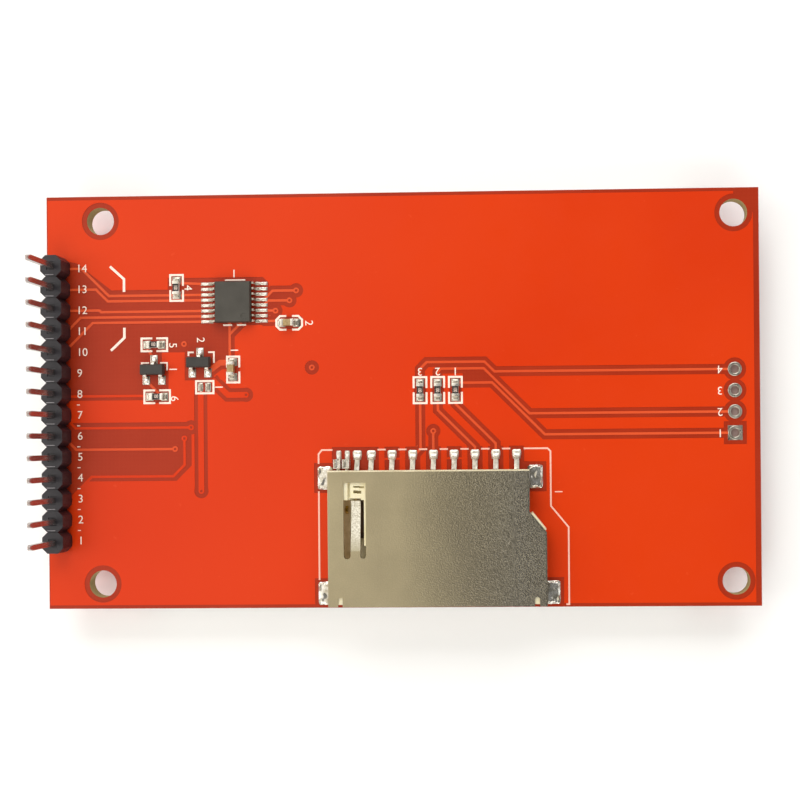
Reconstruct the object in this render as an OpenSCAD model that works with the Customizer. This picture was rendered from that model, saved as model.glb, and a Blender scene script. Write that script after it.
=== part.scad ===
// TFT display module: a 2.8 inch liquid crystal display with a resistive touch panel, taped to a carrier board.
// The board carries a pin header, a touch controller, its small parts and a socket for a full-size memory card.
// +Z points out of the component side, and the module lies on its display face at z = 0.
// X and Y are measured from the middle of the board. The header is at -X and the card goes in from -Y.

/* [Board] */
// Length of the board
board_l = 86; // [85:0.5:92]
// Margin of the board beside the display, on each long side
board_margin = 0.1; // [0.1:0.1:3]
// Thickness of the laminate
board_t = 1.6; // [1.2:0.1:2]
// Thickness of a copper layer with its coat of solder mask
copper_t = 0.04; // [0.03:0.01:0.07]
// Diameter of the four mounting holes
hole_d = 3.3; // [2.8:0.1:3.4]
// From the header's end of the board to its pair of mounting holes
hole_in_header_end = 6.6; // [6.4:0.1:7]
// From the other end of the board to its pair of mounting holes
hole_in_far_end = 3; // [2.8:0.1:3.2]
// From each long edge of the board to the mounting holes
hole_in_side = 3; // [2.8:0.1:3.2]
// Width of the bare ring round a mounting hole
hole_ring = 0.6; // [0.4:0.1:0.8]

/* [Tracks] */
// Width of a signal track
track_w = 0.3; // [0.2:0.05:0.35]
// Width of a supply track
supply_w = 0.7; // [0.5:0.05:0.8]
// Gap between a track and the copper pour round it
track_gap = 0.45; // [0.35:0.05:0.5]
// Diameter of a via's pad
via_d = 0.7; // [0.6:0.05:0.8]
// Diameter of the dimple in a via
via_hole_d = 0.3; // [0.2:0.05:0.4]
// Thickness of the tin on a pad
pad_t = 0.04; // [0.03:0.01:0.06]
// Thickness of the printed legend
print_t = 0.02; // [0.01:0.01:0.03]
// Line width of the outlines printed round the parts
print_w = 0.24; // [0.15:0.01:0.3]

/* [Pin header] */
// Pitch of the header's pins and of the card pads
pitch = 2.54; // [2.5:0.01:2.56]
// Number of pins
pin_count = 14; // [12:1:14]
// Side of a square pin
pin_w = 0.64; // [0.5:0.02:0.7]
// How far a pin stands out of the plastic
pin_up = 6; // [4:0.5:9]
// How far a pin stands out of the board on the display side
pin_down = 1.4; // [1:0.1:1.8]
// Width of the header's plastic
housing_w = 2.5; // [2.3:0.05:2.6]
// Height of the header's plastic
housing_h = 2.54; // [2.2:0.02:3]
// Corner cut of each segment of the plastic
housing_cut = 0.62; // [0.4:0.02:0.7]
// From the end of the board to the row of pins
header_in = 1.6; // [1.4:0.05:1.9]
// From the middle of the board's width to the middle of the row
header_shift = -0.25; // [-1:0.05:1]
// Drill size of the header's holes and of the card pads
drill_d = 1.02; // [1:0.01:1.1]
// Wall of the plating in a drilled hole
plating_t = 0.04; // [0.03:0.01:0.06]
// Diameter of a plated hole's pad
ring_pad_d = 1.7; // [1.6:0.05:1.8]

/* [Card socket] */
// From the middle of the board's length to the middle of the card
socket_x = 4.43; // [3.5:0.1:5.5]
// From the edge of the board to the mouth of the socket
socket_setback = 0.5; // [0.5:0.1:1]
// Width of the socket over its metal shell
socket_w = 25.9; // [25.7:0.1:26.5]
// Depth of the socket from mouth to back
socket_depth = 16.1; // [15.8:0.1:17]
// Height of the socket above the board
socket_h = 2.8; // [2.7:0.05:3.2]
// Thickness of the shell's sheet
shell_t = 0.2; // [0.15:0.01:0.25]
// Thickness of the plastic under the card
base_floor = 0.35; // [0.3:0.05:0.4]
// Width of the socket's side beside the bay for the card
bay_in = 0.85; // [0.75:0.05:1]
// Depth of the plastic behind the card
stop_depth = 3.5; // [3.2:0.1:4]
// How far the back corner of the socket is stepped in
corner_step = 2; // [1.6:0.1:2.2]
// Length of the stepped-in side
corner_side = 5; // [4.6:0.1:5.4]
// Length along the card's way of the slanted side
corner_slant = 2.4; // [2:0.1:2.8]
// From the side of the bay to the first contact
contact_in = 2.66; // [2.6:0.02:2.8]
// From the other side of the bay to the eighth contact
contact_in_far = 4.04; // [3.9:0.02:4.1]
// From the eighth contact to the ninth, which stand closer than the rest
contact_last_pitch = 1.7; // [1.6:0.05:1.8]
// Width of a contact
contact_w = 0.6; // [0.5:0.05:0.65]
// Thickness of a contact
contact_t = 0.15; // [0.1:0.01:0.18]
// Length of a contact's tail behind the socket
tail_l = 2.1; // [1.8:0.1:2.3]

/* [Touch controller] */
// From the row of header pins to the middle of the chip
chip_in = 21.3; // [21:0.1:21.6]
// From the middle of the board's width to the middle of the chip
chip_y = 11.95; // [11.8:0.05:12.1]
// Length of the chip's body
chip_l = 5; // [4.9:0.05:5.1]
// Width of the chip's body
chip_w = 4.4; // [4.2:0.05:4.5]
// Height of the chip's body
chip_h = 0.9; // [0.8:0.05:1]
// Span over the chip's legs
chip_span = 6.4; // [6.3:0.05:6.6]
// Pitch of the legs
leg_pitch = 0.65; // [0.6:0.01:0.65]

/* [Small parts] */
// Length of a chip resistor or capacitor
chip_part_l = 1.6; // [1.5:0.05:1.7]
// Width of a chip resistor or capacitor
chip_part_w = 0.8; // [0.7:0.05:0.9]
// Height of a chip resistor
resistor_h = 0.45; // [0.35:0.05:0.55]
// Height of a chip capacitor
capacitor_h = 0.8; // [0.6:0.05:0.9]
// Length of a metal end cap
cap_end = 0.35; // [0.25:0.05:0.4]
// Length of a three-legged part's body
sot_l = 2.9; // [2.8:0.05:3]
// Width of a three-legged part's body
sot_w = 1.3; // [1.2:0.05:1.4]
// Height of a three-legged part's body
sot_h = 1; // [0.9:0.05:1.1]

/* [Display] */
// Length of the display's frame
lcd_l = 69.2; // [68:0.2:69.2]
// Width of the display's frame
lcd_w = 49.8; // [49.8:0.2:54]
// From the header's end of the board to the display's frame
lcd_in = 9.9; // [9.6:0.1:10.2]
// Wall of the display's frame
frame_wall = 1.5; // [1.2:0.1:1.8]
// Width of the ledge that the glass sits on
frame_ledge = 0.9; // [0.7:0.1:1.2]
// Thickness of one sheet of the display's glass
glass_t = 0.5; // [0.4:0.05:0.5]
// Gap round the glass in its frame
glass_gap = 0.15; // [0.1:0.05:0.25]
// Length of the bare strip of glass that carries the driver chip
driver_strip = 4.2; // [3.8:0.1:4.6]
// Thickness of a polarizer
polarizer_t = 0.15; // [0.1:0.01:0.18]
// Thickness of the diffuser and prism films together
films_t = 0.25; // [0.2:0.01:0.3]
// Thickness of the light guide
guide_t = 0.6; // [0.5:0.05:0.65]
// Thickness of the reflector
reflector_t = 0.1; // [0.08:0.01:0.15]
// Thickness of the foam tape between display and board
foam_t = 0.5; // [0.4:0.05:0.6]
// Width of the foam tape
foam_w = 4; // [3:0.5:5]
// Width of the display's flexible circuit
flex_w = 22; // [18:1:24]
// Thickness of a flexible circuit
flex_t = 0.12; // [0.1:0.01:0.15]

/* [Touch panel] */
// How far the touch panel stands back from the frame's edges
touch_in = 0.2; // [0.1:0.05:0.6]
// Thickness of the touch film
film_t = 0.2; // [0.15:0.01:0.25]
// Thickness of the bond between film and glass
bond_t = 0.1; // [0.08:0.01:0.15]
// Thickness of the touch panel's glass
touch_glass_t = 0.7; // [0.55:0.05:0.8]
// Thickness of the tape between touch panel and frame
touch_tape_t = 0.2; // [0.15:0.01:0.25]
// Width of the tape and of the bond
touch_tape_w = 1.8; // [1.4:0.1:2.2]
// Width of the touch panel's flexible circuit
touch_flex_w = 5; // [4:0.5:6]

/* [Hidden] */
eps = 0.02;

board_w = lcd_w + 2 * board_margin;
touch_l = lcd_l - 2 * touch_in;
touch_w = lcd_w - 2 * touch_in;

// Levels, from the display face up
z_touch_glass = film_t + bond_t;
z_touch_tape = z_touch_glass + touch_glass_t;
z_frame = z_touch_tape + touch_tape_t;
polarizer_gap = 0.05;
z_front_polarizer = z_frame + polarizer_gap;
z_filter_glass = z_front_polarizer + polarizer_t;
z_tft = z_filter_glass + glass_t;
z_rear_polarizer = z_tft + glass_t;
z_films = z_rear_polarizer + polarizer_t;
z_guide = z_films + films_t;
z_reflector = z_guide + guide_t;
frame_t = z_reflector - z_frame;
z_foam = z_reflector + reflector_t;
z_board = z_foam + foam_t + copper_t;
z_top = z_board + board_t;
z_face = z_top + copper_t;
z_pad = z_top + pad_t;

// Places on the board
header_x = -board_l / 2 + header_in;
card_pad_in = 3;
card_pad_x = board_l / 2 - card_pad_in;
card_pad_shift = -0.5;
card_pad_count = 4;
function pin_y(i) = header_shift + ((pin_count + 1) / 2 - i) * pitch;
function card_pad_y(i) = card_pad_shift + ((card_pad_count + 1) / 2 - i) * pitch;
hole_x_far = board_l / 2 - hole_in_far_end;
hole_x_header = -board_l / 2 + hole_in_header_end;
hole_y = board_w / 2 - hole_in_side;
mounting_holes = [for (x = [hole_x_header, hole_x_far], s = [-1, 1]) [x, s * hole_y]];

// Centres of the small parts. Those beside the header keep their distance from it.
chip = [header_x + chip_in, chip_y];
row_y = 1.13;
row_pitch = 2.13;
row_x = 6.58;
resistors = [
    [row_x, row_y, 90],
    [row_x - row_pitch, row_y, 90],
    [row_x - 2 * row_pitch, row_y, 90],
    [header_x + 14.28, 13.8, 90],
    [header_x + 11.5, 6.95, 0],
    [header_x + 11.8, 0.65, 0]];
capacitors = [[header_x + 21.1, 3.85, 90], [header_x + 27.95, 9.42, 0]];
transistor_at = [header_x + 11.44, 3.9];
regulator_at = [header_x + 17.06, 4.73];
jumper = [header_x + 17.62, 1.75];

// Card socket
socket_front = -board_w / 2 + socket_setback;
socket_back = socket_front + socket_depth;
socket_l = socket_x - socket_w / 2;
socket_r = socket_x + socket_w / 2;
socket_step = socket_r - corner_step;
slant_back = socket_back - corner_side;
slant_front = slant_back - corner_slant;
z_socket = z_face;
z_socket_top = z_socket + socket_h;
bay_l = socket_l + bay_in;
bay_r = socket_r - bay_in;
bay_back = socket_back - stop_depth;
card_corner = 4;
contact_pitch = (bay_r - bay_l - contact_in - contact_in_far) / 7;
function contact_x(i) = bay_r - contact_in - contact_pitch * min(i - 1, 7) - (i == 9 ? contact_last_pitch : 0);
switch_tails = [bay_l + 1.13, bay_l + 0.1];
switch_w = 0.35;
tail_pad_l = 1.1;
tail_pad_w = 0.95;
tail_pad_out = 0.2;
tail_end = socket_back + tail_l;
tab_l = 2.5;
tab_in_back = 0.95;
tab_in_front = 1.25;
tab_w = 1.5;
tab_pad_out = 0.1;
tabs = [
    [socket_l, socket_back - tab_in_back, -1],
    [socket_l, socket_front + tab_in_front, -1],
    [socket_step, socket_back - tab_in_back, 1],
    [socket_r, socket_front + tab_in_front, 1]];

// Display
lcd_end = lcd_in - board_l / 2;
lcd_x = lcd_end + lcd_l / 2;
pocket_l = lcd_l - 2 * frame_wall;
pocket_w = lcd_w - 2 * frame_wall;
tft_l = pocket_l - 2 * glass_gap;
tft_w = pocket_w - 2 * glass_gap;
well_l = pocket_l - 2 * frame_ledge;
well_w = pocket_w - 2 * frame_ledge;
led_room = 1.6;

// Plane geometry: the direction of a step, its left side, and a line of points made as wide as a track
function unit(v) = v / norm(v);
function left_of(v) = [-v[1], v[0]];
function corner_shift(a, b, d) = (a + b) * d / (1 + a * b);
function beside(p, i, d) =
    let (last = len(p) - 1,
         a = left_of(unit(p[max(i, 1)] - p[max(i, 1) - 1])),
         b = left_of(unit(p[min(i, last - 1) + 1] - p[min(i, last - 1)])))
    p[i] + corner_shift(a, b, d);
function band(p, w) = concat(
    [for (i = [0:len(p) - 1]) beside(p, i, w / 2)],
    [for (i = [len(p) - 1:-1:0]) beside(p, i, -w / 2)]);
function moved(p, d) = [for (q = p) q + d];
function shrunk(p, d) =
    let (n = len(p))
    [for (i = [0:n - 1])
        let (a = left_of(unit(p[i] - p[(i + n - 1) % n])), b = left_of(unit(p[(i + 1) % n] - p[i])))
        p[i] + corner_shift(a, b, d)];

module line(p, w) polygon(band(p, w));

module rect(l, w, at = [0, 0]) translate(at) square([l, w], center = true);

module slab(l, w, z, t, x = lcd_x) translate([x - l / 2, -w / 2, z]) cube([l, w, t]);

// Tracks that the socket, header, card pads and chip share
function chip_pad_y(j) = chip_y + (4.5 - j) * leg_pitch;
chip_side = chip_span / 2 + 0.2;
resistor_pad = 0.85;
tail_y = tail_end + tail_pad_out - tail_pad_l / 2;
function end_up(r) = [resistors[r][0], resistors[r][1] + resistor_pad];
function end_down(r) = [resistors[r][0], resistors[r][1] - resistor_pad];
// A track that runs along X, takes a 45 degree slope and goes on along X at another height
function slope(x, y0, y1) = [[x, y0], [x + abs(y1 - y0), y1]];

card_track_top = 4.5;
card_track_next = 3.7;
card_tracks = [
    concat([end_up(2), end_up(2) + [0, 1.7], [end_up(2)[0] + 0.8, card_track_top]],
        slope(10.1, card_track_top, card_pad_y(1)), [[card_pad_x, card_pad_y(1)]]),
    concat([end_up(1), end_up(1) + [0, 1.3], [end_up(1)[0] + 0.4, card_track_next]],
        slope(10, card_track_next, card_pad_y(3)), [[card_pad_x, card_pad_y(3)]]),
    concat([end_up(0)], slope(11, end_up(0)[1], card_pad_y(4)), [[card_pad_x, card_pad_y(4)]])];
function down_to(r, y, i) =
    let (x0 = end_down(r)[0], x1 = contact_x(i))
    [end_down(r), [x0, y], [x1, y - abs(x1 - x0)], [x1, tail_y]];
mid_via = [contact_x(5), -3.8];
socket_tracks = [
    down_to(0, -0.55, 2),
    down_to(1, -1.3, 3),
    [end_down(2), [end_down(2)[0], tail_end + 0.35],
        [contact_x(6), tail_end + 0.35 - abs(end_down(2)[0] - contact_x(6))],
        [contact_x(6), tail_y]],
    [mid_via, [contact_x(5), tail_y]]];

// Left vias and tracks
sck_via = [header_x + 15.9, -3.1];
sdi_via = [header_x + 13.93, -5.7];
cs_via = [header_x + 15.08, -4.43];
supply_x = header_x + 17.11;
supply_via = [supply_x, -10.82];
jumper_via = [header_x + 22.64, 0.78];
open_via = [header_x + 19.74, 2.94];
lone_via = [header_x + 30.66, 4];
red_via = [header_x + 15.12, 7];
chip_vias = [
    [header_x + 28.82, 13.33],
    [header_x + 28, 12.14],
    [header_x + 26.3, 10.9]];
header_tracks = [
    [[header_x, pin_y(1)], [header_x + 2.65, pin_y(1)], [header_x + 2.65 + pin_y(1) - chip_pad_y(3), chip_pad_y(3)],
        [chip[0] - chip_side, chip_pad_y(3)]],
    [[header_x, pin_y(2)], [header_x + 4.4, pin_y(2)], [header_x + 4.4 + pin_y(2) - chip_pad_y(4), chip_pad_y(4)],
        [chip[0] - chip_side, chip_pad_y(4)]],
    [[header_x, pin_y(3)], [header_x + 4.8, pin_y(3)], [header_x + 4.8 + pin_y(3) - chip_pad_y(6), chip_pad_y(6)],
        [chip[0] - chip_side, chip_pad_y(6)]],
    [[header_x, pin_y(4)], [header_x + 0.8, pin_y(4)], [header_x + 0.8 + chip_pad_y(7) - pin_y(4), chip_pad_y(7)],
        [chip[0] - chip_side, chip_pad_y(7)]],
    [[header_x, pin_y(5)], [header_x + 0.4, pin_y(5)], [header_x + 0.4 + chip_pad_y(8) - pin_y(5), chip_pad_y(8)],
        [chip[0] - chip_side, chip_pad_y(8)]],
    [[header_x, pin_y(7)], [header_x + 0.6, pin_y(7)], [header_x + 0.85, pin_y(7) - 0.25],
        [resistors[5][0] - resistor_pad, pin_y(7) - 0.25]],
    [[header_x, pin_y(8)], [header_x + 0.2, pin_y(8)], [header_x + 0.2 + pin_y(8) - sck_via[1], sck_via[1]], sck_via],
    [[header_x, pin_y(9)], [header_x + 0.2, pin_y(9)], [header_x + 0.2 + pin_y(9) - sdi_via[1], sdi_via[1]], sdi_via],
    [[header_x, pin_y(12)], [header_x + 1, pin_y(12)], [header_x + 3.7, -9], [header_x + 13.7, -9],
        [cs_via[0], -9 + cs_via[0] - header_x - 13.7], cs_via]];
chip_right = chip[0] + chip_side;
chip_tracks = [
    [[chip_right, chip_pad_y(4)], [chip_right + 0.2, chip_pad_y(4)],
        [chip_right + 0.2 + chip_vias[0][1] - chip_pad_y(4), chip_vias[0][1]], chip_vias[0]],
    [[chip_right, chip_pad_y(5)], [chip_right + 0.2, chip_pad_y(5)],
        [chip_right + 0.2 + chip_vias[1][1] - chip_pad_y(5), chip_vias[1][1]], chip_vias[1]],
    [[chip_right, chip_pad_y(6)], [chip_right + 0.3, chip_pad_y(6)], chip_vias[2]],
    [[chip_right, chip_pad_y(8)], [capacitors[1][0] - resistor_pad, chip_pad_y(8)]],
    [[resistors[3][0], resistors[3][1] + 0.6], [chip[0] - chip_side, chip_pad_y(1)]]];
capacitor_top = [capacitors[0][0], capacitors[0][1] + resistor_pad];
feed_x = chip[0] - 0.6;
feed_tracks = [
    [[feed_x, chip_y - chip_l / 2 + 0.3], [feed_x, capacitor_top[1]]],
    [[feed_x + 1.45, chip_y - chip_l / 2 + 0.1], [feed_x, chip_y - chip_l / 2 - 1.35]],
    [[transistor_at[0] - 0.95, transistor_at[1] - 1.3], [resistors[5][0] + 0.2, resistors[5][1] + 0.4]],
    [[resistors[4][0] - resistor_pad, resistors[4][1] - 0.4], [transistor_at[0], transistor_at[1] + 1.2]]];
wide_tracks = [
    [[supply_x, jumper[1] - 0.3], supply_via],
    [regulator_at + [0.98, -1.1], [capacitor_top[0] - 1.6, capacitor_top[1]], capacitor_top],
    [jumper + [0.9, 0.9], [header_x + 20.44, jumper_via[1]], jumper_via]];

// Bare laminate beside the header, under the touch tracks and under the bus tracks
touch_bare = moved([
    [0, 17.4], [2.1, 16.9], [6.3, 13.6], [13.2, 13.6], [13.2, 15], [24.8, 15], [25.5, 14.3], [25.5, 9.2],
    [22.7, 9.2], [21.3, 7.8], [21.3, 5.3], [18.75, 5.3], [18.75, 2.6], [15.2, 2.6], [15.2, 6], [12.4, 6],
    [12.4, 4.8], [13.2, 4.8], [13.2, 1.4], [10.1, 1.4], [10.1, 0.25], [0, 0.25]], [header_x, 0]);
bus_bare = moved([
    [0, -2.45], [15.95, -2.45], [15.95, -7.7], [14.1, -9.55], [3.3, -9.55], [1.6, -11.25], [0, -11.25]],
    [header_x, 0]);
card_bare = [[row_x + 0.9, card_track_next], [10, card_track_next], [11.8, end_up(0)[1]], [row_x + 0.9, end_up(0)[1]]];

// ---------------------------------------------------------------- the board

module at_pins() for (i = [1:pin_count]) translate([header_x, pin_y(i)]) children();
module at_card_pads() for (i = [1:card_pad_count]) translate([card_pad_x, card_pad_y(i)]) children();
module at_mounting_holes() for (h = mounting_holes) translate(h) children();
module at_parts(list) for (p = list) translate([p[0], p[1]]) rotate(p[2]) children();

module circuit_board() color("#9E2A14")
    translate([0, 0, z_board]) difference() {
        translate([-board_l / 2, -board_w / 2, 0]) cube([board_l, board_w, board_t]);
        at_mounting_holes() translate([0, 0, -1]) cylinder(d = hole_d, h = board_t + 2, $fn = 64);
        at_pins() translate([0, 0, -1]) cylinder(d = drill_d + 2 * plating_t, h = board_t + 2, $fn = 32);
        at_card_pads() translate([0, 0, -1]) cylinder(d = drill_d + 2 * plating_t, h = board_t + 2, $fn = 32);
    }

// The pour reaches nearly to the long edges and stops short of the ends
pour_in_header_end = 0.12;
pour_in_far_end = 0.68;
pour_in_side = 0.42;

module pour_sheet() difference() {
    translate([-board_l / 2 + pour_in_header_end, -board_w / 2 + pour_in_side])
        square([board_l - pour_in_header_end - pour_in_far_end, board_w - 2 * pour_in_side]);
    at_mounting_holes() circle(d = hole_d + 2 * hole_ring + eps, $fn = 64);
}

module cleared_back() {
    for (t = concat(card_tracks, socket_tracks, chip_tracks)) line(t, track_w + 2 * track_gap);
    for (t = wide_tracks) line(t, supply_w + 2 * track_gap);
    polygon(touch_bare);
    polygon(bus_bare);
    polygon(card_bare);
    translate([hole_x_far, hole_y]) square(hole_in_side + 1);
    for (v = concat(chip_vias, [sck_via, supply_via, jumper_via, mid_via, lone_via, red_via]))
        translate(v) circle(d = via_d + 2 * track_gap + 0.12, $fn = 32);
    for (i = [1:card_pad_count - 1])
        translate([card_pad_x, card_pad_y(i)]) circle(d = ring_pad_d + 2 * track_gap + 0.13, $fn = 48);
    rect(ring_pad_d + 2.3 * track_gap, ring_pad_d + 2.3 * track_gap, [card_pad_x, card_pad_y(card_pad_count)]);
    at_pins() circle(d = ring_pad_d + 2 * track_gap + 0.07, $fn = 32);
    for (r = resistors) translate([r[0], r[1]]) rotate(r[2]) rect(3.1, 1.5);
    for (c = capacitors) translate([c[0], c[1]]) rotate(c[2]) rect(3.1, 1.5);
    rect(2.1, 1.45, jumper);
    bare_l = tail_l + tail_pad_out;
    for (i = [1:9]) rect(tail_pad_w + 1.9 * track_gap, bare_l + 2 * track_gap, [contact_x(i), socket_back + bare_l / 2]);
    rect(2.7, bare_l + 2 * track_gap, [(switch_tails[0] + switch_tails[1]) / 2, socket_back + bare_l / 2]);
    for (t = tabs)
        rect(2 * (tab_w + tab_pad_out + track_gap), tab_l + 2 * (tab_pad_out + track_gap), [t[0], t[1]]);
}

module via_discs(list) for (v = list) translate(v) circle(d = via_d, $fn = 32);
module via_dimples(list) for (v = list) translate(v) circle(d = via_hole_d, $fn = 24);
back_vias = concat(chip_vias, [sck_via, sdi_via, cs_via, supply_via, jumper_via, open_via, mid_via, lone_via, red_via]);

// The two tails on the pour's own net are joined to it by a pair of narrow spokes
spoke_w = 0.25;
spoke_y = socket_back + 1.3;
grounded_tails = [4, 7];

module tracks_back() difference() {
    union() {
        for (i = grounded_tails) rect(tail_pad_w + 2.4 * track_gap, spoke_w, [contact_x(i), spoke_y]);
        for (t = concat(card_tracks, socket_tracks, header_tracks, chip_tracks, feed_tracks)) line(t, track_w);
        for (t = wide_tracks) line(t, supply_w);
        via_discs(back_vias);
    }
    via_dimples(back_vias);
    surface_pads(eps);
    at_pins() circle(d = ring_pad_d, $fn = 48);
    at_card_pads() circle(d = ring_pad_d, $fn = 48);
}

module pour_back() difference() {
    pour_sheet();
    cleared_back();
}

module copper_back() color("#EE4A1E") translate([0, 0, z_top]) {
    linear_extrude(copper_t) pour_back();
    linear_extrude(copper_t) tracks_back();
}

front_tracks = [
    [[header_x, pin_y(6)], [header_x + 11, pin_y(6)]],
    [[header_x, pin_y(10)], [header_x + 11, pin_y(10)]],
    [[header_x, pin_y(11)], [header_x + 11, pin_y(11)]],
    [[card_pad_x - 7, card_pad_y(2)], [card_pad_x, card_pad_y(2)]]];

module copper_front() color("#EE4A1E") translate([0, 0, z_board - copper_t]) {
    linear_extrude(copper_t) difference() {
        pour_sheet();
        for (t = front_tracks) line(t, track_w + 2 * track_gap);
        at_pins() circle(d = ring_pad_d + 2 * track_gap, $fn = 48);
        at_card_pads() circle(d = ring_pad_d + 2 * track_gap, $fn = 48);
    }
    linear_extrude(copper_t) difference() {
        for (t = front_tracks) line(t, track_w);
        at_pins() circle(d = ring_pad_d, $fn = 48);
        at_card_pads() circle(d = ring_pad_d, $fn = 48);
    }
}

// ---------------------------------------------------------------- tinned pads and plated holes

leg_pad_l = 1.5;
leg_pad_w = 0.4;
sot_leg_x = 0.95;
sot_legs = [[0, 1], [-sot_leg_x, -1], [sot_leg_x, -1]];

module surface_pads(grow = 0) {
    at_parts(concat(resistors, capacitors))
        for (s = [-1, 1]) rect(0.9 + grow, 1 + grow, [s * (resistor_pad + 0.05), 0]);
    for (j = [1:8], s = [-1, 1]) rect(leg_pad_l + grow, leg_pad_w + grow, [chip[0] + s * (chip_span / 2 + 0.1), chip_pad_y(j)]);
    for (c = [transistor_at, regulator_at], g = sot_legs)
        rect(0.9 + grow, 1.1 + grow, c + [g[0], g[1] * 1.25]);
    rect(0.62 + grow, 1.05 + grow, jumper - [0.52, 0]);
    rect(0.72 + grow, 1.05 + grow, jumper + [0.4, 0]);
    for (i = [1:9]) rect(tail_pad_w + grow, tail_pad_l + grow, [contact_x(i), tail_y]);
    for (x = switch_tails) rect(0.6 + grow, tail_pad_l + grow, [x, tail_y]);
    for (t = tabs) rect(tab_w + tab_pad_out + grow, tab_l + tab_pad_out + grow, [t[0] + t[2] * (tab_w + tab_pad_out) / 2, t[1]]);
}

// A plated hole: a tube through the board with a pad on each face
module plated_hole(square_pad = false) {
    difference() {
        union() {
            translate([0, 0, z_board - pad_t])
                cylinder(d = drill_d + 2 * plating_t, h = board_t + 2 * pad_t, $fn = 48);
            for (z = [z_board - pad_t, z_top]) translate([0, 0, z]) linear_extrude(pad_t)
                if (square_pad) square(ring_pad_d + 0.06, center = true);
                else circle(d = ring_pad_d, $fn = 48);
        }
        translate([0, 0, z_board - 1]) cylinder(d = drill_d, h = board_t + 2, $fn = 48);
    }
}

module tinned_pads() color("#C9C6BC") {
    translate([0, 0, z_top]) linear_extrude(pad_t) surface_pads();
    at_pins() plated_hole();
    for (i = [1:card_pad_count]) translate([card_pad_x, card_pad_y(i)]) plated_hole(i == card_pad_count);
}

// ---------------------------------------------------------------- printed legend, without its words

// Outline of a part, left open at the middle of both long sides
module open_box(l, w, gap = 0.5, cut = 0) for (s = [-1, 1])
    line([for (q = [[gap / 2, w / 2], [l / 2 - cut, w / 2], [l / 2, w / 2 - cut],
        [l / 2, cut - w / 2], [l / 2 - cut, -w / 2], [gap / 2, -w / 2]]) [s * q[0], q[1]]], print_w);

module plain_box(l, w, gap = 0.5) for (s = [-1, 1])
    line([for (q = [[gap / 2, w / 2], [l / 2, w / 2], [l / 2, -w / 2], [gap / 2, -w / 2]]) [s * q[0], q[1]]], print_w);

legend_l = 3.12;
legend_w = 1.54;
socket_print_w = 0.2;
socket_print_y = socket_back + 2.42;
socket_print_r = socket_r + 0.55;
socket_print = [
    [[socket_l - 1.5, tabs[1][1] + 1.6], [socket_l - 1.5, tabs[0][1] - 1.6]],
    [[socket_l - 1.5, tabs[0][1] + 1.7], [socket_l - 1.5, socket_print_y - 0.5], [socket_l - 1.1, socket_print_y],
        [switch_tails[1] - 0.75, socket_print_y]],
    [[contact_x(1) + 0.85, socket_print_y], [socket_print_r - 0.35, socket_print_y],
        [socket_print_r, socket_print_y - 0.35], [socket_print_r, slant_back + 0.5],
        [socket_r + 2.65, slant_front + 0.35], [socket_r + 2.65, -board_w / 2 + 0.3],
        [socket_r + 2.3, -board_w / 2 + 0.3]]];
touch_bracket = [
    [[6.15, 16.5], [7.85, 14.95], [7.85, 13.4]],
    [[7.85, 9.05], [7.85, 7.85], [6.2, 6.3]]];

module legend() {
    at_parts(resistors) plain_box(legend_l, legend_w);
    translate([capacitors[0][0], capacitors[0][1]]) rotate(capacitors[0][2]) plain_box(legend_l, 1.48);
    translate([capacitors[1][0], capacitors[1][1]]) open_box(legend_l, 1.64, 0.7, 0.45);
    translate(jumper) difference() {
        rect(2.35, 1.72);
        rect(2.35 - 2 * print_w, 1.72 - 2 * print_w);
    }
    for (p = [[[-1.5, 0.4], [-1.5, 0.85], [-0.6, 0.85]], [[0.75, 0.85], [1.6, 0.85], [1.6, -0.05]]])
        translate(transistor_at) line(p, 0.18);
    for (p = [[[-1.4, 0.8], [-1.4, 1.25], [-0.75, 1.25]], [[1, 1.25], [1.7, 1.25], [1.7, -0.05]]])
        translate(regulator_at) line(p, 0.2);
    translate(chip) {
        line([[-1.1, 2.72], [1.35, 2.72]], 0.15);
        line([[-1.4, -2.72], [-0.3, -2.72]], 0.2);
        line([[0.3, -2.72], [1.4, -2.72]], 0.2);
    }
    for (p = socket_print) line(p, socket_print_w);
    for (i = [1:8]) let (a = contact_x(i + 1) + 0.75, b = contact_x(i) - 0.75)
        if (b - a > 0.4) line([[a, socket_print_y], [b, socket_print_y]], socket_print_w);
    for (p = touch_bracket) line(moved(p, [header_x, 0]), 0.3);
    for (i = [7:pin_count - 1]) rect(0.35, 0.1, [header_x + 2.15, pin_y(i) - pitch / 2]);
}

// The ink lies on the copper and fills the gaps beside it
module printed_legend() color("#FBEBD8") {
    translate([0, 0, z_face]) linear_extrude(print_t) legend();
    translate([0, 0, z_top]) linear_extrude(copper_t) difference() {
        legend();
        pour_back();
        tracks_back();
        surface_pads();
    }
}

// ---------------------------------------------------------------- solder

joint_h = 1;
bead_h = 0.1;

// A tail's bead is narrow at the socket and flares towards the end of the pad
module tail_bead(x, w) difference() {
    translate([x, tail_end - 0.9, z_pad]) linear_extrude(contact_t + bead_h)
        polygon([[-w / 2, 0], [-w * 0.62, 0.35], [-w * 0.76, 1.05], [w * 0.76, 1.05], [w * 0.62, 0.35], [w / 2, 0]]);
    translate([x - w / 2, tail_end - 2, z_pad - 1]) cube([w, 2, 1 + contact_t]);
}

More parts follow.
